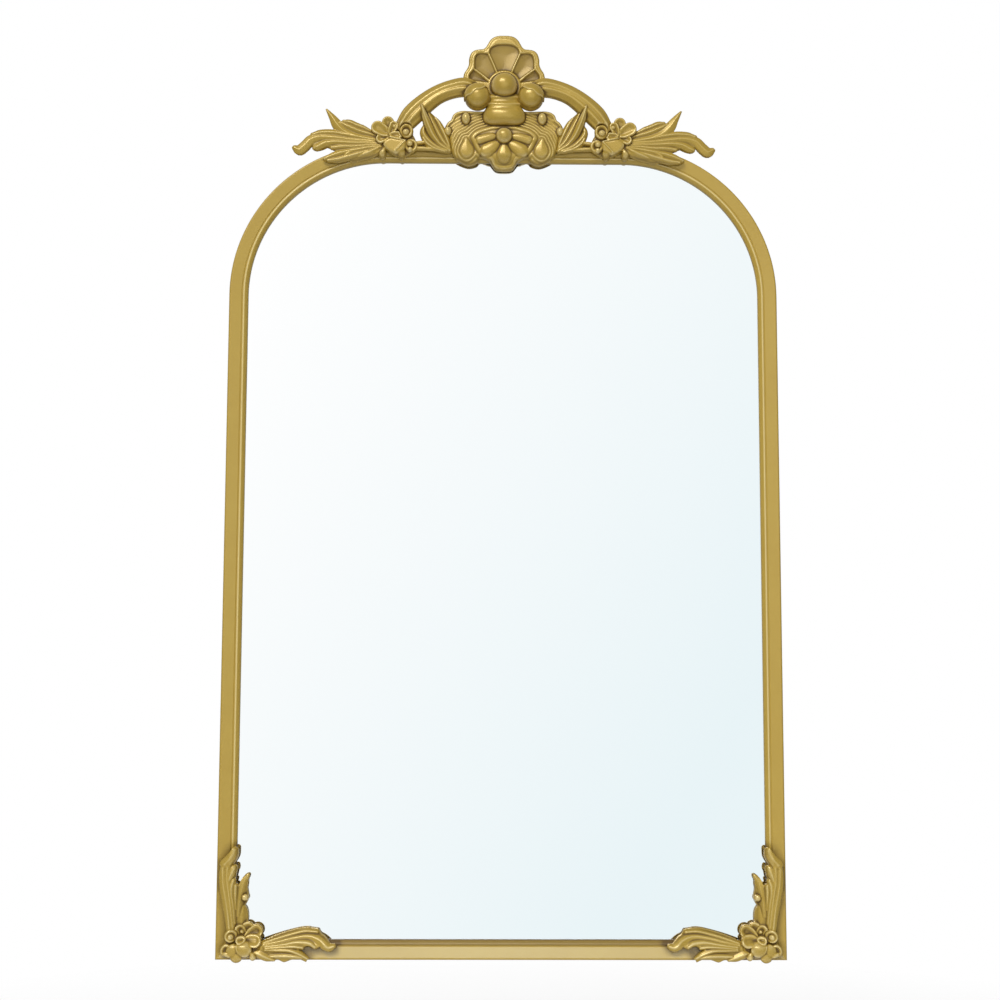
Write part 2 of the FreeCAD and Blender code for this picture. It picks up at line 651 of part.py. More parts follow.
def palmette():
    shield_front = front_depth + shield_rise
    shapes = [loop_plate(whole(shield_shares), crest_place, casting_back, shield_front),
              ball(palmette_ball_shares, crest_place, shield_front, palmette_ball_radius)]
    tables = [(middle_petal_shares, middle_petal_width_shares)]
    for shares, widths in ((low_petal_shares, low_petal_width_shares), (high_petal_shares, high_petal_width_shares)):
        tables.append((shares, widths))
        tables.append(([(-out, up) for out, up in shares], widths))
    for shares, widths in tables:
        shapes.append(lobe(shares, widths, crest_module, crest_place, shield_front - lobe_sink,
                           shield_front - petal_sink, petal_rise))
    return shapes


def crest_cartouche():
    plate_front = front_depth + plate_rise
    shapes = [loop_plate(whole(plate_shares), crest_place, casting_back, plate_front), crest_shell()]
    shapes += crest_urn() + palmette()
    for side in (-1, 1):
        x, z = crest_place(whorl_shares[0] * side, whorl_shares[1])
        shapes.append(Part.makeTorus(whorl_radius, whorl_bead, at(x, plate_front, z), Vector(0, 1, 0)))
        for shares, radius in ((side_bead_shares, side_bead_radius), (edge_bead_shares, edge_bead_radius)):
            shapes.append(ball((shares[0] * side, shares[1]), crest_place, plate_front, radius))
    return fused(shapes)


def crest_spray():
    leaf_front = front_depth + leaf_rise
    shapes = [lobe(arm_shares, arm_width_shares, crest_module, crest_place, casting_back, front_depth + arm_rise,
                   arm_crown),
              run_plate(side_leaf_shares, crest_place, casting_back, leaf_front),
              lobe(side_leaf_rib_shares, side_leaf_rib_width_shares, crest_module, crest_place,
                   leaf_front - lobe_sink, leaf_front, leaf_crown),
              lobe(stem_shares, stem_width_shares, crest_module, crest_place, casting_back, leaf_front, leaf_crown),
              loop_plate(flower_shares, crest_place, casting_back, front_depth + flower_rise),
              run_plate(spray_shares, crest_place, casting_back, leaf_front),
              ball(flower_eye_shares, crest_place, front_depth + flower_rise + petal_rise, flower_eye_radius),
              lobe(bud_stem_shares, bud_stem_width_shares, crest_module, crest_place, front_depth, leaf_front,
                   leaf_crown),
              ball(bud_shares, crest_place, leaf_front, bud_radius)]
    for shares, widths in zip(spray_rib_shares, spray_rib_width_shares):
        shapes.append(lobe(shares, widths, crest_module, crest_place, leaf_front - lobe_sink, leaf_front, leaf_crown))
    shapes += petals(flower_petal_shares, crest_module, crest_place, front_depth + flower_rise, petal_rise)
    side_ball = ball(side_ball_shares, crest_place, front_depth + ball_rise, ball_radius)
    return fused(shapes + [side_ball])


def corner_ornament():
    leaf_front = front_depth + leaf_rise
    shapes = [run_plate(upright_leaf_shares, corner_place, casting_back, leaf_front),
              run_plate(level_leaf_shares, corner_place, casting_back, leaf_front),
              loop_plate(corner_flower_shares, corner_place, casting_back, front_depth + flower_rise),
              ball(corner_eye_shares, corner_place, front_depth + flower_rise + petal_rise, flower_eye_radius),
              ball(corner_bud_shares, corner_place, front_depth + leaf_rise, bud_radius)]
    for shares, widths in zip(corner_rib_shares, corner_rib_width_shares):
        shapes.append(lobe(shares, widths, corner_module, corner_place, leaf_front - lobe_sink, leaf_front, leaf_crown))
    shapes += petals(corner_petal_shares, corner_module, corner_place, front_depth + flower_rise, petal_rise)
    return fused(shapes)


def frame_pieces(clip_places):
    prism = mitre_prism()
    deep = front_depth + overrun
    shallow = holes(clip_places + hanger_screw_places(), rear_depth - overrun, rear_depth + frame_wall + overrun,
                    clearance_gap)
    through = holes(crest_screw_places() + spray_screw_places() + corner_screw_places(), rear_depth - overrun, deep,
                    clearance_gap)
    keyed = holes(key_screw_places(), rear_depth - overrun, rear_depth + frame_wall + overrun, clearance_gap)
    drilled = shallow + through + keyed
    arch = arch_sweep().cut([prism] + drilled)
    rail = rail_sweep().common(prism).cut(drilled)
    return arch, rail


def build():
    clips, clip_places = clips_and_places()
    arch, rail = frame_pieces(clip_places)
    envelope = frame_envelope()
    cartouche = seated(crest_cartouche(), envelope, crest_screw_places())
    spray = seated(crest_spray(), envelope, spray_screw_places()).cut(cartouche)
    corner = seated(corner_ornament(), envelope, corner_screw_places())
    key = corner_key()
    strap = hanger_strap()
    ring = d_ring()
    glass_inset = rebate_inset + glass_edge_gap
    ornament_screws = crest_screw_places() + spray_screw_places()
    return {
        "frame_arch": arch,
        "frame_bottom_rail": rail,
        "corner_key_left": key,
        "corner_key_right": mirrored(key),
        "corner_key_screws": screw_group(key_screw_places(), rear_depth, key_screw_length),
        "mirror_glass": pane(glass_inset, glass_back, glass_front),
        "safety_film": pane(glass_inset, film_back, glass_back),
        "setting_blocks": setting_blocks(),
        "backing_board": pane(rebate_inset + board_edge_gap, board_back, film_back),
        "retainer_clips": clips,
        "retainer_screws": screw_group(clip_places, rear_depth - clip_thickness, clip_screw_length),
        "hanger_strap_left": strap,
        "hanger_strap_right": mirrored(strap),
        "hanger_ring_left": ring,
        "hanger_ring_right": mirrored(ring),
        "hanger_screws": screw_group(hanger_screw_places(), rear_depth - strap_thickness, hanger_screw_length),
        "wall_bumpers": wall_bumpers(),
        "crest_cartouche": cartouche,
        "crest_spray_left": spray,
        "crest_spray_right": mirrored(spray),
        "crest_screws": screw_group(ornament_screws, rear_depth, ornament_screw_length),
        "corner_ornament_left": corner,
        "corner_ornament_right": mirrored(corner),
        "corner_ornament_screws": screw_group(corner_screw_places(), rear_depth, ornament_screw_length),
    }


os.makedirs("parts", exist_ok=True)
for node, shape in build().items():
    box = shape.BoundBox
    print(node, len(shape.Solids), "solids", shape.isValid(), round(shape.Volume), "mm3",
          [round(v, 1) for v in (box.XMin, box.XMax, box.YMin, box.YMax, box.ZMin, box.ZMax)])
    shape.exportStep("parts/" + node + ".step")
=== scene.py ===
import bpy
import bmesh
import json
import math
import numpy as np
from mathutils import Matrix, Vector
from mathutils.kdtree import KDTree

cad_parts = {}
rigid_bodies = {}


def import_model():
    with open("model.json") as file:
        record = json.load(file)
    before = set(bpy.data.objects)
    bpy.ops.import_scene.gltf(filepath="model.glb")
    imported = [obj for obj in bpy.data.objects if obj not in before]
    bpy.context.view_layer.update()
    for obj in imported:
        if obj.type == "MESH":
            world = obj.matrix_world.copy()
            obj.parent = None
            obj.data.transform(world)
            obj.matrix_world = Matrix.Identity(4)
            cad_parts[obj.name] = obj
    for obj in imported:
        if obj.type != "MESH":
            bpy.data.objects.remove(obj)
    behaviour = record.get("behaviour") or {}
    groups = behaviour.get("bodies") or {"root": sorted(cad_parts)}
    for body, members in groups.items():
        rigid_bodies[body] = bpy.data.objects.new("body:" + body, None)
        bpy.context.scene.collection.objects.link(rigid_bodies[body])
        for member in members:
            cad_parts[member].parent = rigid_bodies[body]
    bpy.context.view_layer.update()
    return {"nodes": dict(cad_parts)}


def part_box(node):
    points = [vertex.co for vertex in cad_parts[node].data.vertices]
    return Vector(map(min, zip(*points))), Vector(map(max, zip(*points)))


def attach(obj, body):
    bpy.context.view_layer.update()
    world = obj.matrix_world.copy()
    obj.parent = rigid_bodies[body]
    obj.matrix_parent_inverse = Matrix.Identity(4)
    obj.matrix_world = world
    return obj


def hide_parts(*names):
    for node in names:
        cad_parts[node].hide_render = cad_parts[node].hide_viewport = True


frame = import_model()
nodes = frame["nodes"]
scene = bpy.context.scene
mm = 0.001
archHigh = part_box("frame_arch")[1]
frameRear = archHigh.y
halfWidth = archHigh.x / mm  # all drawings below are in millimetres
frameHeight = archHigh.z / mm
print("frame loaded")


# small helpers
def fill(node, inputs):
    # each input takes a link or a fixed value
    for key, value in inputs.items():
        if isinstance(value, bpy.types.NodeSocket):
            node.id_data.links.new(value, node.inputs[key])
        else:
            node.inputs[key].default_value = value
    return node


def addNode(tree, kind, inputs=None, **settings):
    node = tree.nodes.new(kind)
    for key, value in settings.items():
        setattr(node, key, value)
    return fill(node, inputs or {})


def made(tree, kind, inputs=None, **settings):
    return addNode(tree, kind, inputs, **settings).outputs[0]


def math2(tree, operation, first, second=0.0):
    return made(tree, "ShaderNodeMath", {0: first, 1: second}, operation=operation)


def vectorOf(tree, **parts):
    return made(tree, "ShaderNodeCombineXYZ", parts)


def eased(share):
    return share * share * (3 - 2 * share)


def newObject(name, mesh, material=None):
    obj = bpy.data.objects.new(name, mesh)
    scene.collection.objects.link(obj)
    if material:
        mesh.materials.clear()
        mesh.materials.append(material)
    return obj


def smooth(mesh, angle):
    mesh.polygons.foreach_set("use_smooth", [True] * len(mesh.polygons))
    mesh.set_sharp_from_angle(angle=math.radians(angle))


def outward(mesh):
    work = bmesh.new()
    work.from_mesh(mesh)
    bmesh.ops.remove_doubles(work, verts=work.verts, dist=1e-6)
    bmesh.ops.recalc_face_normals(work, faces=work.faces)
    work.to_mesh(mesh)
    work.free()


def closedMesh(name, points, faces, angle):
    mesh = bpy.data.meshes.new(name)
    mesh.from_pydata(points, [], faces)
    outward(mesh)
    smooth(mesh, angle)
    return mesh


def paintValues(mesh, name, values):
    layer = mesh.attributes.new(name, "FLOAT", "POINT")
    layer.data.foreach_set("value", np.asarray(values, np.float32))


def settle(obj, body, slot, *replaced):
    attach(obj, body)
    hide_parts(*replaced)


# finishes: shared effects are node groups, each finish has its own material
def newGroup(name, inputs):
    # a group that puts out a colour, a roughness and a height
    group = bpy.data.node_groups.new(name, "ShaderNodeTree")
    for label, value in inputs.items():
        kind = "Float" if isinstance(value, float) else "Color"
        socket = group.interface.new_socket(label, in_out="INPUT", socket_type="NodeSocket" + kind)
        socket.default_value = value
    for label, kind in (("Color", "Color"), ("Roughness", "Float"), ("Height", "Float")):
        group.interface.new_socket(label, in_out="OUTPUT", socket_type="NodeSocket" + kind)
    coords = addNode(group, "ShaderNodeTexCoord").outputs["Object"]
    return group, addNode(group, "NodeGroupInput").outputs, coords


def closeGroup(group, color, roughness, height):
    addNode(group, "NodeGroupOutput", {"Color": color, "Roughness": roughness, "Height": height})
    return group


def noise(tree, coords, scale, detail, roughness=0.5):
    inputs = {"Vector": coords, "Scale": scale, "Detail": detail, "Roughness": roughness}
    return addNode(tree, "ShaderNodeTexNoise", inputs).outputs["Fac"]


def remap(tree, value, low, high, toLow=0.0, toHigh=1.0):
    inputs = {"Value": value, "From Min": low, "From Max": high, "To Min": toLow, "To Max": toHigh}
    return addNode(tree, "ShaderNodeMapRange", inputs).outputs["Result"]


def mixColor(tree, factor, first, second):
    return addNode(tree, "ShaderNodeMix", {0: factor, 6: first, 7: second}, data_type="RGBA").outputs[2]


def giltGroup():
    # brushed-on gold: hollows darkened with wax and painted shade, ridges lightened with rubbed wear and
    # painted highlight, uneven coat and fine grain
    group, given, coords = newGroup("giltCoat", {
        "Cavity": 0.0, "Body": (0.5, 0.3, 0.02, 1), "Uneven": (0.4, 0.23, 0.02, 1),
        "Wax": (0.1, 0.06, 0.01, 1), "Rubbed": (0.7, 0.5, 0.15, 1),
        "Patch Scale": 24.0, "Grain Scale": 1500.0, "Polish": 0.0})
    patch = noise(group, coords, given["Patch Scale"], 4.0, 0.6)
    grain = noise(group, coords, given["Grain Scale"], 2.0)
    coat = mixColor(group, remap(group, patch, 0.35, 0.7), given["Body"], given["Uneven"])
    # painted tone: below zero the hollows take wax and painted shade, above zero the ridges take a painted
    # highlight over rubbed wear
    hollow = remap(group, given["Cavity"], -0.08, -0.9, 0.0, 0.95)
    ridge = remap(group, given["Cavity"], 0.12, 0.6, 0.0, 0.9)
    waxedAndShaded = mixColor(group, hollow, coat, given["Wax"])
    rubbedHighlight = mixColor(group, ridge, waxedAndShaded, given["Rubbed"])
    dulled = math2(group, "MULTIPLY", hollow, 0.2)
    rough = math2(group, "ADD", remap(group, grain, 0.3, 0.7, 0.3, 0.37), dulled)
    rough = math2(group, "SUBTRACT", rough, given["Polish"])
    return closeGroup(group, rubbedHighlight, rough, math2(group, "ADD", grain, patch))


def metalGroup():
    # plated or drawn metal: fine scratches along one way and a cloudy plating
    group, given, coords = newGroup("drawnMetal", {
        "Bright": (0.7, 0.7, 0.68, 1), "Dull": (0.5, 0.5, 0.48, 1), "Scratch Scale": 400.0})
    stretch = addNode(group, "ShaderNodeMapping", {"Vector": coords, "Scale": (1.0, 1.0, 0.06)})
    scratch = noise(group, stretch.outputs["Vector"], given["Scratch Scale"], 3.0)
    cloud = noise(group, coords, 180.0, 3.0)
    tone = math2(group, "MULTIPLY", math2(group, "ADD", scratch, cloud), 0.5)
    color = mixColor(group, remap(group, tone, 0.35, 0.65), given["Bright"], given["Dull"])
    return closeGroup(group, color, remap(group, tone, 0.35, 0.65, 0.24, 0.42), scratch)


def fibreGroup():
    # pressed board, film and rubber: mottled colour and a fine tooth
    group, given, coords = newGroup("pressedTooth", {
        "Light": (0.2, 0.13, 0.08, 1), "Dark": (0.1, 0.06, 0.03, 1), "Tooth Scale": 700.0})
    tooth = noise(group, coords, given["Tooth Scale"], 4.0, 0.7)
    cloud = math2(group, "MULTIPLY", noise(group, coords, 30.0, 3.0), 0.4)
    tone = math2(group, "ADD", math2(group, "MULTIPLY", tooth, 0.6), cloud)
    color = mixColor(group, remap(group, tone, 0.35, 0.65), given["Light"], given["Dark"])
    return closeGroup(group, color, remap(group, tone, 0.35, 0.65, 0.6, 0.85), tooth)


groups = {"gilt": giltGroup(), "metal": metalGroup(), "fibre": fibreGroup()}


def bareMaterial(name):
    material = bpy.data.materials.new(name)
    material.use_nodes = True
    tree = material.node_tree
    return material, tree, tree.nodes["Principled BSDF"]


def newMaterial(name, group, given, bumpHeight, fixed):
    material, tree, shader = bareMaterial(name)
    values = {key: value if isinstance(value, float) else (*value, 1) for key, value in given.items()}
    if group == "gilt":
        # the attribute holds the painted tone: wax and painted shade below zero, painted highlight above
        values["Cavity"] = addNode(tree, "ShaderNodeAttribute", attribute_name="cavity").outputs["Fac"]
    effect = addNode(tree, "ShaderNodeGroup", values, node_tree=groups[group]).outputs
    grain = {"Strength": 0.35, "Distance": bumpHeight, "Height": effect["Height"]}
    fill(shader, {"Base Color": effect["Color"], "Roughness": effect["Roughness"],
                  "Normal": made(tree, "ShaderNodeBump", grain), **fixed})
    return material


def mirrorMaterial():
    material, tree, shader = bareMaterial("silveredGlass")
    coords = addNode(tree, "ShaderNodeTexCoord").outputs["Object"]
    haze = noise(tree, coords, 9.0, 3.0)
    tint = mixColor(tree, haze, (1.0, 1.0, 1.0, 1), (0.992, 0.996, 0.997, 1))
    rough = remap(tree, haze, 0.3, 0.7, 0.0, 0.012)
    fill(shader, {"Metallic": 1.0, "Base Color": tint, "Roughness": rough})
    return material


giltColors = {
    "Body": (0.5, 0.34, 0.06),
    "Uneven": (0.48, 0.32, 0.054),
    # the hollow colour is wax with painted shade, the ridge colour a painted highlight on rubbed gilt
    "Wax": (0.1, 0.052, 0.004),
    "Rubbed": (0.76, 0.6, 0.25),
}
coats = {
    "frameGilt": ("gilt", {**giltColors, "Grain Scale": 900.0, "Polish": 0.0}, 0.00002, {"Metallic": 0.04}),
    "castGilt": ("gilt", {**giltColors, "Grain Scale": 1500.0, "Polish": 0.06}, 0.00002, {"Metallic": 0.16}),
    "hardboard": ("fibre", {"Light": (0.23, 0.145, 0.08), "Dark": (0.16, 0.098, 0.052)}, 0.0003, {}),
    "greyFilm": ("fibre", {"Light": (0.2, 0.21, 0.22), "Dark": (0.14, 0.15, 0.16)}, 0.0001, {}),
    "softRubber": ("fibre", {"Light": (0.05, 0.05, 0.05), "Dark": (0.025, 0.025, 0.026),
                             "Tooth Scale": 1600.0}, 0.0001, {}),
    "platedSteel": ("metal", {}, 0.00005, {"Metallic": 1.0}),
    "keyAlloy": ("metal", {"Bright": (0.6, 0.6, 0.6), "Dull": (0.42, 0.42, 0.42)}, 0.00005,
                 {"Metallic": 1.0}),
}
finishes = {name: newMaterial(name, *coat) for name, coat in coats.items()}
finishes["silveredGlass"] = mirrorMaterial()
cadFinishes = {
    "mirror_glass": "silveredGlass", "safety_film": "greyFilm", "backing_board": "hardboard",
    "setting_blocks": "softRubber", "corner_key_left": "keyAlloy", "corner_key_right": "keyAlloy",
    "hanger_strap_left": "platedSteel", "hanger_strap_right": "platedSteel",
}
for node, finish in cadFinishes.items():
    slots = nodes[node].data.materials
    slots.clear()
    slots.append(finishes[finish])
print("finishes made")


# node trees that shape pieces
def newTree(name, inputs):
    tree = bpy.data.node_groups.new(name, "GeometryNodeTree")
    for label, kind in {"Geometry": "Geometry", **inputs, "Finish": "Material"}.items():
        tree.interface.new_socket(label, in_out="INPUT", socket_type="NodeSocket" + kind)
    tree.interface.new_socket("Geometry", in_out="OUTPUT", socket_type="NodeSocketGeometry")
    return tree, addNode(tree, "NodeGroupInput").outputs


def closeTree(tree, geometry, finish):
    whole = made(tree, "GeometryNodeRealizeInstances", {"Geometry": geometry})
    painted = made(tree, "GeometryNodeSetMaterial", {"Geometry": whole, "Material": finish})
    addNode(tree, "NodeGroupOutput", {"Geometry": painted})
    return tree


def runTree(obj, tree, values):
    modifier = obj.modifiers.new("shape", "NODES")
    modifier.node_group = tree
    for item in tree.interface.items_tree:
        if item.in_out == "INPUT" and item.name in values:
            modifier[item.identifier] = values[item.name]
    evaluated = obj.evaluated_get(bpy.context.evaluated_depsgraph_get())
    mesh = bpy.data.meshes.new_from_object(evaluated)
    obj.modifiers.remove(modifier)
    obj.data = mesh


# frame: one section swept up a stile, over the shoulders and down, and along the bottom rail
frameRail = {
    "depth": 20.0, "faceWidth": 20.4, "edgeRound": 2.1, "faceFall": 2.8, "sightRise": 1.8,
    "grooveInset": 14.2, "grooveFall": 0.6, "grooveWidth": 0.8, "beadInset": 16.0, "beadTop": 17.3,
    "rebateInset": 13.8, "rebateDepth": 12.0, "rearRound": 0.8, "shoulderRadius": 173.0,
    "spacing": 3.0, "arcSteps": 40, "roundSteps": 7, "beadSteps": 14, "smoothAngle": 35,
    # painted bands on the frame: shade in the groove, at the sight edge and on the bottom rail's bead, and a
    # highlight on the other beads' crest
    "grooveShade": (0.15, 0.5), "sightShade": (0.35, 0.6), "crestHighlight": (0.7, 1.0), "beadShade": (0.55, 1.5),
}


def faceForward(inset):
    return frameRail["depth"] - frameRail["faceFall"] * inset / frameRail["grooveInset"]


def frontSection():
    # (inset, forward) from the outer edge over the face, groove and bead to the sight edge
    s = frameRail
    edge, groove, bead = s["edgeRound"], s["grooveInset"], s["beadInset"]
    points = []
    for i in range(s["roundSteps"] + 1):
        turn = math.pi / 2 * i / s["roundSteps"]
        points.append((edge * (1 - math.cos(turn)), faceForward(edge) - edge * (1 - math.sin(turn))))
    lip = groove - s["grooveWidth"] / 2
    floor = faceForward(groove) - s["grooveFall"]
    for along in (edge + 0.4, lip - 0.8, lip - 0.35):
        points.append((along, faceForward(along)))
    points += [(lip, faceForward(lip) - 0.15), (groove, floor)]
    start = groove + s["grooveWidth"] / 2
    sight = s["rebateDepth"] + s["sightRise"]
    for i in range(s["beadSteps"] + 1):
        along = start + (s["faceWidth"] - start) * i / s["beadSteps"]
        if along < bead:
            share = (along - start) / (bead - start)
            level = floor + (s["beadTop"] - floor) * math.sin(math.pi / 2 * share)
        else:
            share = (along - bead) / (s["faceWidth"] - bead)
            level = sight + (s["beadTop"] - sight) * math.cos(math.pi / 2 * share)
        points.append((along, level))
    return points


def wholeSection():
    rear, inset, depth = frameRail["rearRound"], frameRail["rebateInset"], frameRail["rebateDepth"]
    back = [(frameRail["faceWidth"], depth), (inset, depth), (inset, rear * 0.4), (inset - rear * 0.4, 0.0),
            (rear, 0.0), (rear * 0.3, rear * 0.3), (0.0, rear)]
    return frontSection() + back


def sweepTree():
    tree, given = newTree("frameSweep", {
        "Half Width": "Float", "Height": "Float", "Shoulder Radius": "Float", "Arc Steps": "Int",
        "Rail": "Bool", "Rear": "Float", "Spacing": "Float"})
    width, height, isRail = given["Half Width"], given["Height"], given["Rail"]
    left = math2(tree, "MULTIPLY", width, -1.0)
    corners = [vectorOf(tree, X=left), vectorOf(tree, X=left, Y=height),
               vectorOf(tree, X=width, Y=height), vectorOf(tree, X=width)]
    turns = addNode(tree, "GeometryNodeIndexSwitch", data_type="VECTOR")
    while len(turns.index_switch_items) < len(corners):
        turns.index_switch_items.new()
    index = made(tree, "GeometryNodeInputIndex")
    fill(turns, {number: socket for number, socket in enumerate([index] + corners)})
    points = made(tree, "GeometryNodePoints", {"Count": len(corners), "Position": turns.outputs[0]})
    line = made(tree, "GeometryNodePointsToCurves", {"Points": points})
    rounding = {"Curve": line, "Radius": given["Shoulder Radius"], "Count": given["Arc Steps"]}
    arch = made(tree, "GeometryNodeFilletCurve", rounding, mode="POLY")
    rail = made(tree, "GeometryNodeCurvePrimitiveLine", {"Start": corners[3], "End": corners[0]})
    paths = {"Switch": isRail, "False": arch, "True": rail}
    path = made(tree, "GeometryNodeSwitch", paths, input_type="GEOMETRY")
    even = made(tree, "GeometryNodeResampleCurve", {"Curve": path, "Length": given["Spacing"]}, mode="LENGTH")
    section = made(tree, "GeometryNodeMeshToCurve", {"Mesh": given["Geometry"]})
    sweeping = {"Curve": even, "Profile Curve": section, "Fill Caps": True}
    swept = made(tree, "GeometryNodeCurveToMesh", sweeping)
    # the ends are mitred at the lower corners
    place = addNode(tree, "ShaderNodeSeparateXYZ", {0: made(tree, "GeometryNodeInputPosition")}).outputs
    x, y, z = place["X"], place["Y"], place["Z"]
    across = math2(tree, "ABSOLUTE", x)
    stileLow = math2(tree, "MAXIMUM", y, math2(tree, "SUBTRACT", width, across))
    railEnd = math2(tree, "MINIMUM", across, math2(tree, "SUBTRACT", width, y))
    railSide = math2(tree, "MULTIPLY", math2(tree, "SIGN", x), railEnd)
    mitres = {"Switch": isRail, "False": vectorOf(tree, X=x, Y=stileLow, Z=z),
              "True": vectorOf(tree, X=railSide, Y=y, Z=z)}
    moved = made(tree, "GeometryNodeSwitch", mitres, input_type="VECTOR")
    mitred = made(tree, "GeometryNodeSetPosition", {"Geometry": swept, "Position": moved})
    welded = made(tree, "GeometryNodeMergeByDistance", {"Geometry": mitred, "Distance": 1e-5})
    rear = vectorOf(tree, Y=given["Rear"])
    standing = {"Geometry": welded, "Rotation": (math.pi / 2, 0, 0), "Translation": rear}
    return closeTree(tree, made(tree, "GeometryNodeTransform", standing), given["Finish"])


def insetOf(x, z):
    # distance inward from the frame's outer edge
    radius = frameRail["shoulderRadius"]
    stileTop = frameHeight - radius
    topHalf = halfWidth - radius
    side = halfWidth - np.abs(x)
    shoulder = radius - np.hypot(np.maximum(np.abs(x) - topHalf, 0), np.maximum(z - stileTop, 0))
    upper = np.where(np.abs(x) > topHalf, shoulder, frameHeight - z)
    return np.minimum(np.where(z > stileTop, upper, side), z)


def makeFrame(name, tree, isRail):
    s = frameRail
    points = [(inset * mm, -forward * mm, 0.0) for inset, forward in wholeSection()]
    edges = [(i, (i + 1) % len(points)) for i in range(len(points))]
    mesh = bpy.data.meshes.new(name)
    mesh.from_pydata(points, edges, [])
    obj = newObject(name, mesh)
    runTree(obj, tree, {
        "Half Width": halfWidth * mm, "Height": frameHeight * mm, "Rear": frameRear, "Rail": isRail,
        "Shoulder Radius": s["shoulderRadius"] * mm, "Arc Steps": s["arcSteps"],
        "Spacing": s["spacing"] * mm, "Finish": finishes["frameGilt"]})
    outward(obj.data)
    place = np.array([v.co for v in obj.data.vertices]) / mm
    inset = insetOf(place[:, 0], place[:, 2])

    def band(middle, depth, width):
        return depth * np.exp(-((inset - middle) / width) ** 2)
    # painted tone: the bottom rail's bead is painted darker as shade, the other beads get a painted highlight
    # on the crest
    depth, width = s["beadShade"]
    bead = -depth * np.clip((inset - s["grooveInset"]) / width, 0, 1)
    beadShadeOrHighlight = bead if isRail else band(s["beadInset"], *s["crestHighlight"])
    # painted shade in the groove and at the sight edge
    waxedAndShaded = band(s["grooveInset"], *s["grooveShade"]) + band(s["faceWidth"], *s["sightShade"])
    paintValues(obj.data, "cavity", beadShadeOrHighlight - waxedAndShaded)
    smooth(obj.data, s["smoothAngle"])
    settle(obj, "mirror", "frame_paint", name)
    return obj


sweep = sweepTree()
frames = [makeFrame("frame_arch", sweep, False), makeFrame("frame_bottom_rail", sweep, True)]
print("frame swept")


# relief carving: forms are laid on a fine grid, then closed with sides and a back that follows the frame
relief = {
    "frontPlane": frameRear - frameRail["depth"] * mm, "castingBack": -7.6, "glueLine": 0.15,
    "edgeSpare": 0.6, "edgeTop": 6.0, "edgeLip": 1.6, "edgeLean": 2.4, "panelShade": 0.36, "backShade": 0.4,
    "bare": -30.0, "thinnest": 0.2, "soften": 0.6, "fineBlur": (1.2, 1.1), "broadBlur": (3.5, 0.35),
    "unshadedEdge": 2.0, "smoothAngle": 62,
}


def newRelief(xLow, xHigh, zLow, zHigh, pitch):
    x, z = np.meshgrid(np.arange(xLow, xHigh, pitch), np.arange(zLow, zHigh, pitch))
    bare = np.full(x.shape, relief["bare"])
    return {"x": x, "z": z, "pitch": pitch, "reach": bare, "rise": bare.copy(), "tone": np.zeros(x.shape)}


def curveThrough(points, steps=7, closed=False):
    p = np.array(points, float)
    if len(p) == 2:
        return p
    if closed:
        before, after, last = np.roll(p, 1, 0), np.roll(p, -1, 0), np.roll(p, -2, 0)
        start = p
    else:
        start, after = p[:-1], p[1:]
        before = np.vstack([2 * p[:1] - p[1:2], p[:-2]])
        last = np.vstack([p[2:], 2 * p[-1:] - p[-2:-1]])
    made = []
    for a, b, c, d in zip(before, start, after, last):
        for i in range(steps):
            t = i / steps
            made.append(0.5 * (2 * b + (c - a) * t + (2 * a - 5 * b + 4 * c - d) * t ** 2
                               + (3 * b - a - 3 * c + d) * t ** 3))
    return np.array(made if closed else made + [p[-1]])


def runsLoop(runs):
    # a closed outline from smooth runs that meet at corners, each from the end of the one before it
    if len(runs) == 1:
        return curveThrough(runs[0], closed=True)
    starts = [run[-1] for run in runs[-1:] + runs[:-1]]
    return np.vstack([curveThrough([start] + run)[:-1] for start, run in zip(starts, runs)])


def windowOf(field, points, spare):
    low = points.min(0) - spare
    high = points.max(0) + spare
    x, z = field["x"][0], field["z"][:, 0]
    return slice(*np.searchsorted(z, (low[1], high[1]))), slice(*np.searchsorted(x, (low[0], high[0])))


def loopReach(x, z, loop):
    # distance to a closed outline, positive inside
    best = np.full(x.shape, 1e9)
    inside = np.zeros(x.shape, bool)
    for (ax, az), (bx, bz) in zip(loop, np.roll(loop, -1, 0)):
        dx, dz = bx - ax, bz - az
        t = np.clip(((x - ax) * dx + (z - az) * dz) / (dx * dx + dz * dz + 1e-12), 0, 1)
        best = np.minimum(best, (x - ax - t * dx) ** 2 + (z - az - t * dz) ** 2)
        if az != bz:
            inside ^= ((az > z) != (bz > z)) & (x < ax + (z - az) * dx / dz)
    return np.where(inside, 1, -1) * np.sqrt(best)


def lay(field, window, reach, rise, over=False):
    # a form shows where it stands higher, or everywhere inside its edge when it lies over the rest
    pitch = field["pitch"]
    oldReach, oldRise = field["reach"][window], field["rise"][window]
    cover = np.clip(reach / pitch + 0.5, 0, 1)
    change = rise - oldRise if over else np.maximum(rise - oldRise, 0)
    bare = (oldReach < -2 * pitch) & (reach > -2 * pitch)
    field["rise"][window] = np.where(bare, rise, oldRise + change * cover)
    field["reach"][window] = np.maximum(oldReach, reach)


def layPlate(field, loop, rise, edgeRound, edgeDrop):
    window = windowOf(field, loop, 4.0)
    reach = loopReach(field["x"][window], field["z"][window], loop)
    lip = np.clip(1 - reach / edgeRound, 0, 1)
    lay(field, window, reach, rise - edgeDrop * (1 - np.sqrt(1 - lip ** 2)))
    return window, reach


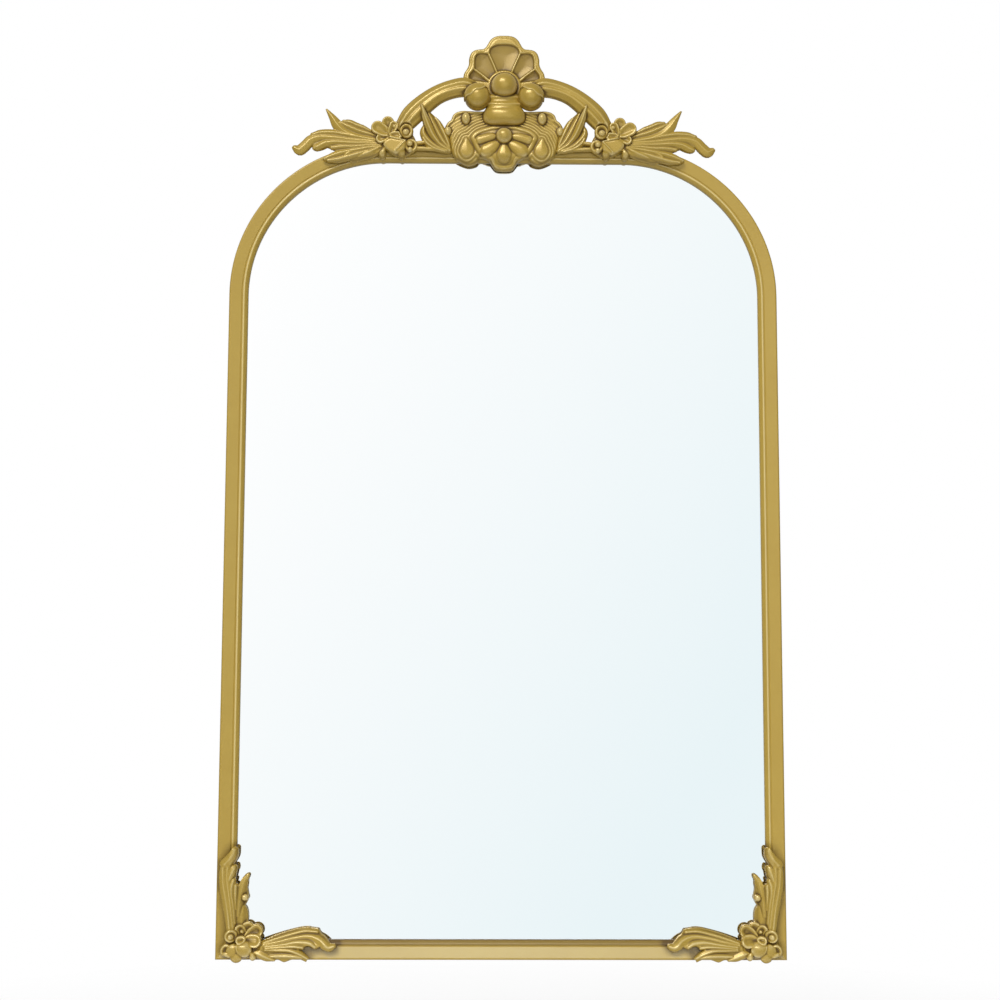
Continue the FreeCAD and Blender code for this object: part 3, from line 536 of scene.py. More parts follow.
def strokeField(x, z, path):
    # path rows are (x, z, half width); gives the reach, the share across (signed) and the half width there
    best = np.full(x.shape, -1e9)
    across = np.zeros(x.shape)
    width = np.ones(x.shape)
    along = np.zeros(x.shape)
    for i, ((ax, az, aw), (bx, bz, bw)) in enumerate(zip(path[:-1], path[1:])):
        dx, dz = bx - ax, bz - az
        length = math.hypot(dx, dz) + 1e-9
        t = np.clip(((x - ax) * dx + (z - az) * dz) / length ** 2, 0, 1)
        off = np.hypot(x - ax - t * dx, z - az - t * dz)
        half = aw + (bw - aw) * t
        side = np.sign((x - ax) * dz - (z - az) * dx)
        nearer = half - off > best
        best = np.where(nearer, half - off, best)
        across = np.where(nearer, side * off / half, across)
        width = np.where(nearer, half, width)
        along = np.where(nearer, (i + t) / (len(path) - 1), along)
    return best, across, width, along


def layStroke(field, points, base, crown, sharp=0.0, ribs=0, ribDepth=0.0, climb=0.0):
    # a finger along a path, from a round back to a sharp crest with hollow sides
    path = curveThrough(points)
    path[:, 2] = np.maximum(path[:, 2], 0.3)
    widest = path[:, 2].max()
    window = windowOf(field, path[:, :2], widest + 2.0)
    reach, across, width, along = strokeField(field["x"][window], field["z"][window], path)
    u = np.clip(np.abs(across), 0, 1)
    section = (1 - sharp) * np.sqrt(1 - u ** 2) + sharp * (1 - u) ** 1.25
    rise = base + crown * (width / widest) ** 0.6 * section + climb * along
    if ribs:
        wave = 0.5 - 0.5 * np.cos(np.pi * ribs * (np.clip(across, -1, 1) + 1))
        rise -= ribDepth * wave * np.sqrt(1 - u ** 2) * (0.45 + 1.1 * np.abs(along - 0.5))
    lay(field, window, reach, rise)


def layPetal(field, root, tip, half, base, lift=1.2, dish=1.8, lipRise=2.4, lipRound=1.5):
    # a hollow petal with a rounded lip, widest near its tip
    span = np.array(tip, float) - root
    end = np.array(tip) - span / np.hypot(*span) * half
    middle = (np.array(root) + end) / 2
    path = curveThrough([(*root, half * 0.3), (*middle, half * 0.85), (*end, half)])
    window = windowOf(field, path[:, :2], half + 2.0)
    stroke = strokeField(field["x"][window], field["z"][window], path)
    reach, along = stroke[0], stroke[3]
    lip = np.sqrt(1 - np.clip(1 - reach / lipRound, 0, 1) ** 2)
    hollow = np.clip((reach - 0.9) / (0.7 * half), 0, 1)
    lay(field, window, reach, base + lift * along + lipRise * lip - dish * eased(hollow), True)


def layDome(field, x, z, halfLong, halfWide, turn, base, crown, dish=0.0, square=2.0):
    window = windowOf(field, np.array([(x, z)]), max(halfLong, halfWide) + 2.0)
    dx, dz = field["x"][window] - x, field["z"][window] - z
    c, s = math.cos(math.radians(turn)), math.sin(math.radians(turn))
    u, v = np.abs(dx * c + dz * s) / halfLong, np.abs(dz * c - dx * s) / halfWide
    q = (u ** square + v ** square) ** (1 / square)
    rise = base + crown * np.sqrt(1 - np.clip(q, 0, 1) ** 2) - dish * np.exp(-(q / 0.62) ** 4)
    lay(field, window, (1 - q) * min(halfLong, halfWide), rise, dish > 0)


def layBall(field, x, z, radius, rise):
    layDome(field, x, z, radius, radius, 0, rise, radius)


def sinkPanel(field, loop, depth, wall, dish):
    window = windowOf(field, loop, 2.0)
    reach = loopReach(field["x"][window], field["z"][window], loop)
    share = np.clip(reach / wall + 0.5, 0, 1)
    field["rise"][window] -= depth * eased(share)
    hollow = np.clip(reach / max(reach.max(), 1e-6), 0, 1)
    field["rise"][window] -= dish * np.sin(np.pi / 2 * hollow)
    # painted shade in the sunk panel
    field["tone"][window] -= relief["panelShade"] * share


def blurred(values, steps):
    taps = np.arange(-3 * steps, 3 * steps + 1)
    weights = np.exp(-0.5 * (taps / steps) ** 2)
    weights /= weights.sum()
    for axis in (0, 1):
        padded = np.pad(values, [(len(taps) // 2,) * 2 if i == axis else (0, 0) for i in (0, 1)])
        size = values.shape[axis]
        values = sum(w * np.take(padded, range(k, k + size), axis) for k, w in enumerate(weights))
    return values


def waxShadeHighlightOf(field, rise, inside):
    # painted tone: hollows below zero, darkened with wax and painted shade, ridges above, lit with a painted
    # highlight, from two widths of blur
    mask = inside.astype(float)

    def above(spread, gain):
        steps = max(1, round(spread / field["pitch"]))
        near = blurred(np.where(inside, rise, 0), steps) / np.maximum(blurred(mask, steps), 1e-3)
        return gain * (rise - near)

    total = field["tone"] + above(*relief["fineBlur"]) + np.minimum(above(*relief["broadBlur"]), 0)
    hollows = np.clip(field["reach"] / relief["unshadedEdge"], 0, 1)  # the wax and painted shade stop short of the outer edges
    return np.where(total < 0, np.maximum(total, -1) * hollows, np.minimum(total, 1)) * mask


def backRise(x, z):
    inset = insetOf(x, z)
    insets, forwards = np.array(frontSection()).T
    face = np.interp(inset, insets, forwards) - frameRail["depth"] + relief["glueLine"]
    over = (inset > -relief["edgeSpare"]) & (inset < frameRail["faceWidth"] + relief["edgeSpare"])
    return np.where(over, face, relief["castingBack"])


def reliefMesh(name, field, back, facing=1, mirrored=False):
    # front, sides and back of a carved form
    reach, rise, pitch = field["reach"], field["rise"], field["pitch"]
    inside = reach > 0
    cells = inside[:-1, :-1] | inside[1:, :-1] | inside[:-1, 1:] | inside[1:, 1:]
    for a, b, c, d in ((0, 1, 1, 0), (1, 0, 0, 1)):  # closes cells that would meet only at a corner
        corner = [cells[:-1, :-1], cells[:-1, 1:], cells[1:, :-1], cells[1:, 1:]]
        touch = (corner[0] == a) & (corner[1] == b) & (corner[2] == c) & (corner[3] == d)
        cells[:-1, :-1] |= touch
        cells[1:, :-1] |= touch
    used = np.zeros(reach.shape, bool)
    for rows in (slice(0, -1), slice(1, None)):
        for cols in (slice(0, -1), slice(1, None)):
            used[rows, cols] |= cells
    slopeZ, slopeX = np.gradient(reach, pitch)
    steep = np.maximum(slopeX ** 2 + slopeZ ** 2, 0.2)
    step = np.where(used & ~inside, -np.clip(reach, -2 * pitch, 0), 0) / steep
    x = field["x"] + step * slopeX
    z = field["z"] + step * slopeZ
    low = back(x, z, np.where(inside, reach, 0))
    rise = np.maximum(rise, low + relief["thinnest"])
    share = np.maximum(blurred(used.astype(float), relief["soften"]), 1e-3)
    soft = blurred(np.where(used, rise, 0), relief["soften"]) / share
    rise = np.where(inside, soft, rise)
    number = np.full(reach.shape, -1)
    number[used] = np.arange(used.sum())
    count = used.sum()
    side = -1 if mirrored else 1
    front = np.stack([side * x[used], -facing * rise[used], z[used]], 1) * mm
    rear = np.stack([side * x[used], -facing * low[used], z[used]], 1) * mm
    a, b = number[:-1, :-1][cells], number[:-1, 1:][cells]
    c, d = number[1:, 1:][cells], number[1:, :-1][cells]
    faces = np.stack([a, b, c, d], 1)
    spare = np.pad(cells, 1)
    bare = {"low": ~spare[:-2, 1:-1][cells], "right": ~spare[1:-1, 2:][cells],
            "high": ~spare[2:, 1:-1][cells], "left": ~spare[1:-1, :-2][cells]}
    walls = []
    for edge, (u, v) in {"low": (a, b), "right": (b, c), "high": (c, d), "left": (d, a)}.items():
        u, v = u[bare[edge]], v[bare[edge]]
        walls.append(np.stack([u, u + count, v + count, v], 1))
    quads = np.vstack([faces, faces[:, ::-1] + count] + walls)
    if mirrored != (facing < 0):
        quads = quads[:, ::-1]
    mesh = bpy.data.meshes.new(name)
    mesh.from_pydata(np.vstack([front, rear]).tolist(), [], quads.tolist())
    # the sides and back are painted darker as shade
    back = np.full(count, -relief["backShade"])
    paintValues(mesh, "cavity", np.concatenate([waxShadeHighlightOf(field, rise, inside)[used], back]))
    smooth(mesh, relief["smoothAngle"])
    return mesh


def sinkOverGlass(field, depth, start, length):
    # inside the frame's bead a casting leans back towards the glass
    share = np.clip((insetOf(field["x"], field["z"]) - start) / length, 0, 1)
    field["rise"] -= depth * eased(share)


def castRelief(name, field, mirrored=False, step=0.0):
    # the back leans in from a thin edge and follows the frame where the casting sits on it
    def back(x, z, reach):
        edge = np.minimum(field["rise"], relief["edgeTop"]) - relief["edgeLip"] - relief["edgeLean"] * reach
        return np.maximum(backRise(x, z) + step, edge)
    mesh = reliefMesh(name, field, back, 1, mirrored)
    mesh.transform(Matrix.Translation((0, relief["frontPlane"], 0)))
    print(name, "carved with", len(mesh.polygons) * 2, "triangles")
    return newObject(name, mesh, finishes["castGilt"])


def bothWays(half):
    return half + [(-x, z) for x, z in reversed(half)]


# crest, middle casting: shell, urn, contoured plate and palmette; places are (out from the middle, up)
crestMiddle = {
    "pitch": 0.55, "sink": (7.0, 14.0, 18.0), "shellRise": 6.5, "shellRound": 3.2, "shellDrop": 2.2,
    "panelDepth": 1.7, "panelWall": 1.8, "panelDish": 1.3, "lineInset": 3.6, "lineDepth": 0.5,
    "lowPanel": [[(39.6, 973.4), (39.6, 967)], [(17.4, 964.4)], [(25.6, 973), (34.6, 979.8)]],
    "collar": (0, 959.6, 17.0, 2.2, 5.2, 1.8), "ball": (0, 959, 14.6, 8.8),
    "bulb": (0, 925.2, 24.2, 13.0, 0, 2.0, 15.2), "plateRise": 5.0, "plateRound": 2.6, "plateDrop": 2.6,
    "rimInset": 2.4, "rimDepth": 1.5, "grid": (-70, 70, 855, 1022), "lineWidth": 0.7, "bulbSquare": 2.7,
    "rimStep": 1.2,
    "shell": [(0, 1019.6), (7, 1019.3), (12, 1017.6), (16, 1014), (18.6, 1009.5), (20.8, 1006),
        (24, 1003.8), (29, 1003.4), (34, 1002), (37.6, 998.4), (39.6, 992), (39.8, 986), (41.6, 981),
        (45.4, 974), (45, 964), (34, 950), (15, 946)],
    "middlePanel": [
        [(-12, 987), (-17.2, 999)],
        [(-15.4, 1004.6), (-9, 1008.4), (0, 1009.2), (9, 1008.4), (15.4, 1004.6), (17.2, 999)],
        [(12, 987), (6.8, 974.5)],
        [(-6.8, 974.5)],
    ],
    "sidePanel": [
        [(26.5, 999), (31.4, 997), (33.6, 991), (33.8, 980.8)],
        [(24.6, 974), (15, 966.6)],
        [(8, 974)],
        [(13, 986), (18.4, 998.2)],
    ],
    "neck": {"low": 932.0, "high": 950.0, "lowHalf": 23.0, "highHalf": 16.5, "crown": 11.0, "base": 4.0,
             "rings": (948.6, 940.0), "ringRise": 1.5, "ringHalf": 1.9, "sag": 3.4, "taper": 0.6,
             "evenHalf": 20.0, "swell": 0.8},
    "plate": [(0, 932), (34, 932), (45, 932.4), (52.5, 931), (57.2, 927.5), (59.4, 922), (63, 919),
        (66.2, 913.5), (66.3, 909), (62.5, 903.5), (60.5, 895.5), (59.4, 888), (56.4, 880), (50, 874.4),
        (40, 870.4), (31, 872.8), (27, 877.6), (21.5, 877), (16.5, 875.2), (13.2, 870.4), (10, 866.4),
        (5, 865)],
}


def ripple(distance, pitch, depth):
    return depth * np.cos(2 * np.pi * distance / pitch)


def carveShell(field):
    s = crestMiddle
    loop = curveThrough(bothWays(s["shell"])[:-1], closed=True)
    window, reach = layPlate(field, loop, s["shellRise"], s["shellRound"], s["shellDrop"])
    field["rise"][window] -= s["lineDepth"] * np.exp(-((reach - s["lineInset"]) / s["lineWidth"]) ** 2)
    hollow = (s["panelDepth"], s["panelWall"], s["panelDish"])
    sinkPanel(field, runsLoop(s["middlePanel"]), *hollow)
    for side in (1, -1):
        for panel in (s["sidePanel"], s["lowPanel"]):
            sinkPanel(field, runsLoop(panel) * (side, 1), *hollow)


def layRing(field, x, z, radius, half, base, crown):
    window = windowOf(field, np.array([(x, z)]), radius + half + 2.0)
    off = np.hypot(field["x"][window] - x, field["z"][window] - z) - radius
    rise = base + crown * np.sqrt(1 - np.clip(off / half, -1, 1) ** 2)
    lay(field, window, half - np.abs(off), rise)


def carveUrn(field):
    s, neck = crestMiddle, crestMiddle["neck"]
    layRing(field, *s["collar"])
    layBall(field, *s["ball"])
    x, z = field["x"], field["z"]
    level = z + neck["sag"] * np.clip(1 - (x / neck["lowHalf"]) ** 2, 0, 1)
    share = np.clip((level - neck["low"]) / (neck["high"] - neck["low"]), 0, 1)
    half = neck["lowHalf"] + (neck["highHalf"] - neck["lowHalf"]) * share ** neck["taper"]
    for ring in neck["rings"]:
        half = half + neck["ringRise"] * np.exp(-((level - ring) / neck["ringHalf"]) ** 2)
    reach = np.minimum(half - np.abs(x), np.minimum(z - neck["low"], neck["high"] - z))
    crown = neck["crown"] + (half - neck["evenHalf"]) * neck["swell"]
    rise = neck["base"] + crown * np.sqrt(1 - np.clip(x / half, -1, 1) ** 2)
    lay(field, (slice(None), slice(None)), reach, rise)
    layDome(field, *s["bulb"], square=s["bulbSquare"])


palmette = {
    "shieldRise": 8.0, "shieldRound": 2.2, "shieldDrop": 1.6, "fieldDrop": 1.8, "rimWidth": 2.6,
    "ripplePitch": 3.2, "rippleBlend": 1.1, "rippleDepth": 0.6, "whorlRise": 2.4, "slopeLength": 11.0,
    "ball": (0, 901.6, 9.2, 7.6), "petalBase": 6.6, "petalCrown": 4.2,
    "sideBead": (42.8, 922.6, 7.0, 4.8, 5.4), "edgeBead": (63.0, 907.5, 5.4, 4.2, 5.0),
    "whorlDome": (1.3, 6.0), "fade": 4.0, "fadeTop": 931.0, "rippleEase": (0.55, 8.0, 10.0),
    "rimFade": (905.0, 12.0), "fieldStep": 1.6,
    "shield": [(0, 914), (10, 913.5), (21, 911), (30, 907.4), (36, 901), (34.5, 895.4), (28.5, 884),
        (20, 876.5), (15, 874.6), (12.5, 870), (9.5, 866.8), (4.5, 865.4)],
    "whorl": [(41, 877.6), (46, 879.2), (48.6, 884), (47.4, 889.6), (45, 894.4), (42.5, 898.6), (38.6, 893),
        (35.4, 887.4), (35.6, 881.4)],
    "petals": [
        [(0, 894, 2.4), (0, 887, 5.6), (0, 881, 8.2), (0, 879, 8.0)],
        [(5, 895, 2.4), (12.5, 890, 6.4), (18.5, 886, 7.8), (20, 885, 7.6)],
        [(7, 901.6, 2.0), (16, 900.4, 4.8), (26, 897.6, 5.2), (27.5, 897.2, 5.0)],
    ],
}


def carvePlate(field):
    s, p = crestMiddle, palmette
    plate = curveThrough(bothWays(s["plate"])[1:-1], closed=True)
    window, reach = layPlate(field, plate, s["plateRise"], s["plateRound"], s["plateDrop"])
    x, z = field["x"][window], field["z"][window]
    shield = curveThrough(bothWays(p["shield"])[1:-1], closed=True)
    near = np.exp(p["rippleBlend"] * loopReach(x, z, shield))
    for side in (1, -1):
        whorl = curveThrough([(a * side, b) for a, b in p["whorl"]], closed=True)
        near = near + np.exp(p["rippleBlend"] * loopReach(x, z, whorl))
    apart = -np.log(near) / p["rippleBlend"]  # the ripples run round shield and whorls without a kink
    domeRise, domeReach = p["whorlDome"]
    swell = p["whorlRise"] * np.exp(-np.maximum(apart, 0) / p["slopeLength"])
    swell += domeRise * np.sqrt(np.clip(-apart / domeReach, 0, 1))
    fade = np.clip(reach / p["fade"], 0, 1) * np.clip((p["fadeTop"] - z) / p["fade"], 0, 1)
    share, start, length = p["rippleEase"]
    deep = p["rippleDepth"] * (1 - share * np.clip((apart - start) / length, 0, 1))
    carved = (swell + np.where(apart > 0, ripple(apart, p["ripplePitch"], deep), deep)) * fade
    start, length = p["rimFade"]
    rim = np.clip((reach - s["rimInset"]) / s["rimStep"], 0, 1)
    carved -= s["rimDepth"] * rim * np.clip((z - start) / length, 0, 1)
    field["rise"][window] += np.where(reach > -1, carved, 0)
    window, reach = layPlate(field, shield, p["shieldRise"], p["shieldRound"], p["shieldDrop"])
    inner = np.clip((reach - p["rimWidth"]) / p["fieldStep"], 0, 1)
    field["rise"][window] -= np.where(reach > 0, p["fieldDrop"] * inner, 0)


def carvePalmette(field):
    p = palmette
    for side in (1, -1):
        for petal in p["petals"]:
            layStroke(field, [(x * side, z, w) for x, z, w in petal], p["petalBase"], p["petalCrown"])
        for x, z, tall, wide, crown in (p["sideBead"], p["edgeBead"]):
            layDome(field, x * side, z, wide, tall, 0, crestMiddle["plateRise"], crown)
    layBall(field, *p["ball"])


def makeCrestMiddle():
    field = newRelief(*crestMiddle["grid"], crestMiddle["pitch"])
    carveShell(field)
    carvePlate(field)
    carveUrn(field)
    carvePalmette(field)
    sinkOverGlass(field, *crestMiddle["sink"])
    settle(castRelief("crest_cartouche", field), "mirror", "casting_paint", "crest_cartouche")


makeCrestMiddle()

# crest, side casting: fluted arm, acanthus leaf, flower and leaf spray
# places are (out from the middle, up, half width)
crestSide = {
    "pitch": 0.5, "sink": (6.0, 11.0, 12.0), "backStep": 0.4, "plateRound": 2.6, "plateDrop": 2.6,
    "leafRise": 4.8, "fingerBase": 4.4, "fingerCrown": 2.7, "fingerSharp": 0.65, "armBase": 3.6,
    "armCrown": 8.5, "armRibs": 3, "armRibDepth": 1.9, "scroll": (29.8, 946.2, 14.4, 8.6),
    "cap": {"lift": 1.2, "lean": 62.0, "offset": 3.0, "wave": 0.8, "waves": 13.0}, "tipClimb": 8.4,
    "flowerRise": 4.4, "heart": (128, 902.8),
    "cups": [(109.4, 907.6, 8.8, 7.8, 90, 5.4, 4.4, 4.4), (103.8, 890.6, 7.8, 7.4, 90, 5.2, 4.6, 4.2)],
    "foldRise": 9.4, "foldRound": 3.4, "foldDrop": 3.6,
    "foldTip": [(115.8, 886, 5.4), (115, 881.6, 4.6), (114.6, 878.4, 2.2)],
    "bud": [(134.2, 886.8, 1.8), (135.6, 883, 3.2), (136.2, 880.4, 4.0)], "grid": (12, 242, 866, 978),
    "leafCrown": 3.7, "budCrown": 4.2, "foldTipForm": (4.4, 0.2), "foldLineForm": (8.8, 1.6),
    "arm": [(33, 955, 10), (44, 959.4, 11), (59, 957, 10.6), (75, 950.4, 10.6), (90, 939.4, 11.6),
        (103, 926.7, 12.0), (112, 915, 9.6)],
    "leaf": [
        [(92.6, 934), (91, 926), (89, 920), (91, 914), (94, 907), (92.4, 899), (87, 892.6), (78, 887.2),
         (68, 884), (60, 883)],
        [(60.6, 893), (64.5, 904), (68, 914), (75, 923), (82, 930), (88, 936.5), (95.5, 942)],
    ],
    "leafTip": [(72, 893, 3.4), (79, 902, 4), (84, 912, 4.2), (87.6, 921, 3.8), (90.2, 929, 2.4),
        (92, 935.4, 0.9)],
    "leafFingers": [
        [(61, 886, 2.3), (72, 893, 4.1), (80, 903, 4.8), (86, 916, 4.8), (90, 929, 2.8), (91.3, 934, 1.1)],
        [(61, 888, 1.8), (68, 896, 3.7), (74, 906, 4.4), (79.5, 917, 4.1), (85, 929, 2.3)],
        [(61, 890, 1.6), (64, 898, 3), (68, 907, 3.7), (73, 917, 3), (77, 923, 1.8)],
        [(64, 885.5, 1.8), (76, 890, 3.4), (85, 897.5, 4.1), (90.4, 906, 4.1), (89, 914.5, 2.1)],
        [(66, 884.6, 1.4), (78, 888, 2.8), (86, 893.5, 3), (90.5, 900, 2.1)],
    ],
    "stems": [
        [(101, 893.5, 2.4), (93, 894.6, 2.2), (84, 895.5, 1.8)],
        [(101, 888.2, 2.4), (90, 887.8, 2.3), (76, 886.8, 1.8)],
    ],
    "flower": [
        [(142.4, 909), (131.4, 916), (121.4, 912), (109.4, 912), (101.4, 903), (97.4, 892), (100.4, 885),
         (112.4, 879), (124.4, 881), (134.4, 888), (140.4, 896)],
    ],
    "petals": [((131, 924), 6.8, 5.4), ((143, 896), 5.6, 5.2), ((147.8, 914.8), 7.8, 6),
        ((121, 918), 5.4, 5.8), ((113.9, 901), 4.8, 6.6)],
    "fold": [
        [(134.4, 895), (127.7, 899.4), (118.4, 898), (110.2, 896.4), (109.2, 890), (113.4, 883.2),
         (121.7, 880.6), (129.8, 884), (134.4, 889.6)],
    ],
    "foldLines": [
        [(110.4, 895.6, 0.9), (115.9, 889.8, 1.2), (121.7, 883.6, 0.9)],
        [(128, 899.8, 0.8), (119.4, 897.8, 1.2), (111, 896, 0.8)],
    ],
    "beads": [(109.8, 905.4, 3.9, 7.2), (105.4, 892.6, 3.5, 6.8), (105, 886, 2.9, 6.6),
        (122.4, 912.2, 2.4, 7.2)],
    "spray": [
        [(146, 879), (160, 875), (170, 873), (177, 876)],
        [(185, 872), (195, 872), (203, 874.5)],
        [(197, 878), (193, 881), (190, 885.5), (198, 889)],
        [(203, 886.5), (209, 885), (213, 886.5), (215, 890.5)],
        [(219, 886), (224, 882), (229.5, 880.6), (234, 884), (236.5, 890)],
        [(229, 889.5), (226, 891), (221, 898), (217, 902)],
        [(214, 905.5), (208, 907.5), (198, 908), (189, 908.5)],
        [(193, 920), (199.5, 932.8)],
        [(191, 924.5), (185, 919.5), (178, 920), (171, 919), (166, 915.5)],
        [(161, 915.5), (156, 911), (149, 908)],
        [(134, 902), (134, 886)],
    ],
    "sprayFingers": [
        [(138, 898, 2), (148, 899, 2.4), (165, 901.5, 4.4), (178, 906.5, 5.6), (186.5, 914, 6.1),
         (192.5, 923, 3.9), (199.2, 932.4, 1.1)],
        [(138, 900, 1.7), (149, 904, 2), (162, 907.6, 3.4), (173, 912, 3.9), (184, 917.5, 2.2)],
        [(149, 907.5, 1.5), (158, 911.8, 2.7), (166, 914.6, 3.2), (173, 917.6, 3.2), (180, 918.8, 2)],
        [(138, 897, 2), (148, 898, 2.2), (170, 902, 3.4), (190, 905.5, 3.7), (205, 905.4, 3.7),
         (214.5, 903, 2.7)],
        [(138, 895, 2), (148, 896, 2.4), (170, 897.6, 3.7), (190, 900, 4.4), (206, 900.5, 4.9),
         (216, 897.4, 5.6), (222.5, 890.8, 5.9), (229, 885.6, 5.6), (234.5, 888, 2.9)],
        [(138, 893, 1.7), (150, 894, 2), (170, 894, 3.4), (188, 895, 4.1), (200, 893.6, 4.4),
         (208, 889.5, 4.4), (212.5, 888, 2.4)],
        [(138, 891.5, 1.7), (151, 891.5, 2), (168, 889.6, 3.2), (182, 889.4, 3.4), (192.5, 888.2, 2.4)],
        [(138, 889.6, 2), (149, 889, 2.4), (165, 886, 3.9), (180, 883, 4.1), (190, 880, 3.7),
         (201, 875.6, 1.7)],
        [(152, 885, 2), (165, 881, 3.4), (176, 877.6, 3.7), (186, 875, 3.2), (197, 873.6, 1.7)],
        [(163.5, 878.2, 1.2), (153, 882.2, 3.9), (146, 885.6, 3.4), (140, 888.6, 1.5)],
        [(167, 884.4, 1.6), (175, 881.6, 3.4), (179, 876.8, 2.6)],
    ],
}


def layCap(field, ball, cap):
    # the arm's end folds over the upper half of its ball with a waved edge
    x, z, radius, rise = ball
    radius += cap["lift"]
    window = windowOf(field, np.array([(x, z)]), radius + 2.0)
    dx, dz = field["x"][window] - x, field["z"][window] - z
    c, s = math.cos(math.radians(cap["lean"])), math.sin(math.radians(cap["lean"]))
    wave = cap["wave"] * np.cos((dz * c - dx * s) * 2 * np.pi / cap["waves"])
    edge = dx * c + dz * s - cap["offset"] - wave
    off = np.hypot(dx, dz)
    high = rise + np.sqrt(np.maximum(radius ** 2 - off ** 2, 0))
    lay(field, window, np.minimum(radius - off, edge), high)


def makeCrestSides():
    s = crestSide
    field = newRelief(*s["grid"], s["pitch"])
    for key, rise in (("leaf", s["leafRise"]), ("flower", s["flowerRise"]), ("spray", s["leafRise"])):
        layPlate(field, runsLoop(s[key]), rise, s["plateRound"], s["plateDrop"])
    layStroke(field, s["arm"], s["armBase"], s["armCrown"], 0.0, s["armRibs"], s["armRibDepth"])
    for stem in s["stems"]:
        layStroke(field, stem, s["fingerBase"], s["fingerCrown"])
    for finger in s["leafFingers"]:
        layStroke(field, finger, s["fingerBase"], s["leafCrown"], s["fingerSharp"])
    layStroke(field, s["leafTip"], s["fingerBase"], s["leafCrown"], s["fingerSharp"], climb=s["tipClimb"])
    for finger in s["sprayFingers"]:
        layStroke(field, finger, s["fingerBase"], s["fingerCrown"], s["fingerSharp"])
    layStroke(field, s["bud"], s["fingerBase"], s["budCrown"])
    for petal in s["petals"]:
        layPetal(field, s["heart"], *petal)
    for cup in s["cups"]:
        layDome(field, *cup)
    layStroke(field, s["foldTip"], s["flowerRise"], *s["foldTipForm"])
    layPlate(field, runsLoop(s["fold"]), s["foldRise"], s["foldRound"], s["foldDrop"])
    for line in s["foldLines"]:
        layStroke(field, line, *s["foldLineForm"])
    for ball in s["beads"] + [s["scroll"]]:
        layBall(field, *ball)
    layCap(field, s["scroll"], s["cap"])
    sinkOverGlass(field, *s["sink"])
    for side, flip in (("left", True), ("right", False)):
        name = "crest_spray_" + side
        settle(castRelief(name, field, flip, s["backStep"]), "mirror", "casting_paint", name)


makeCrestSides()

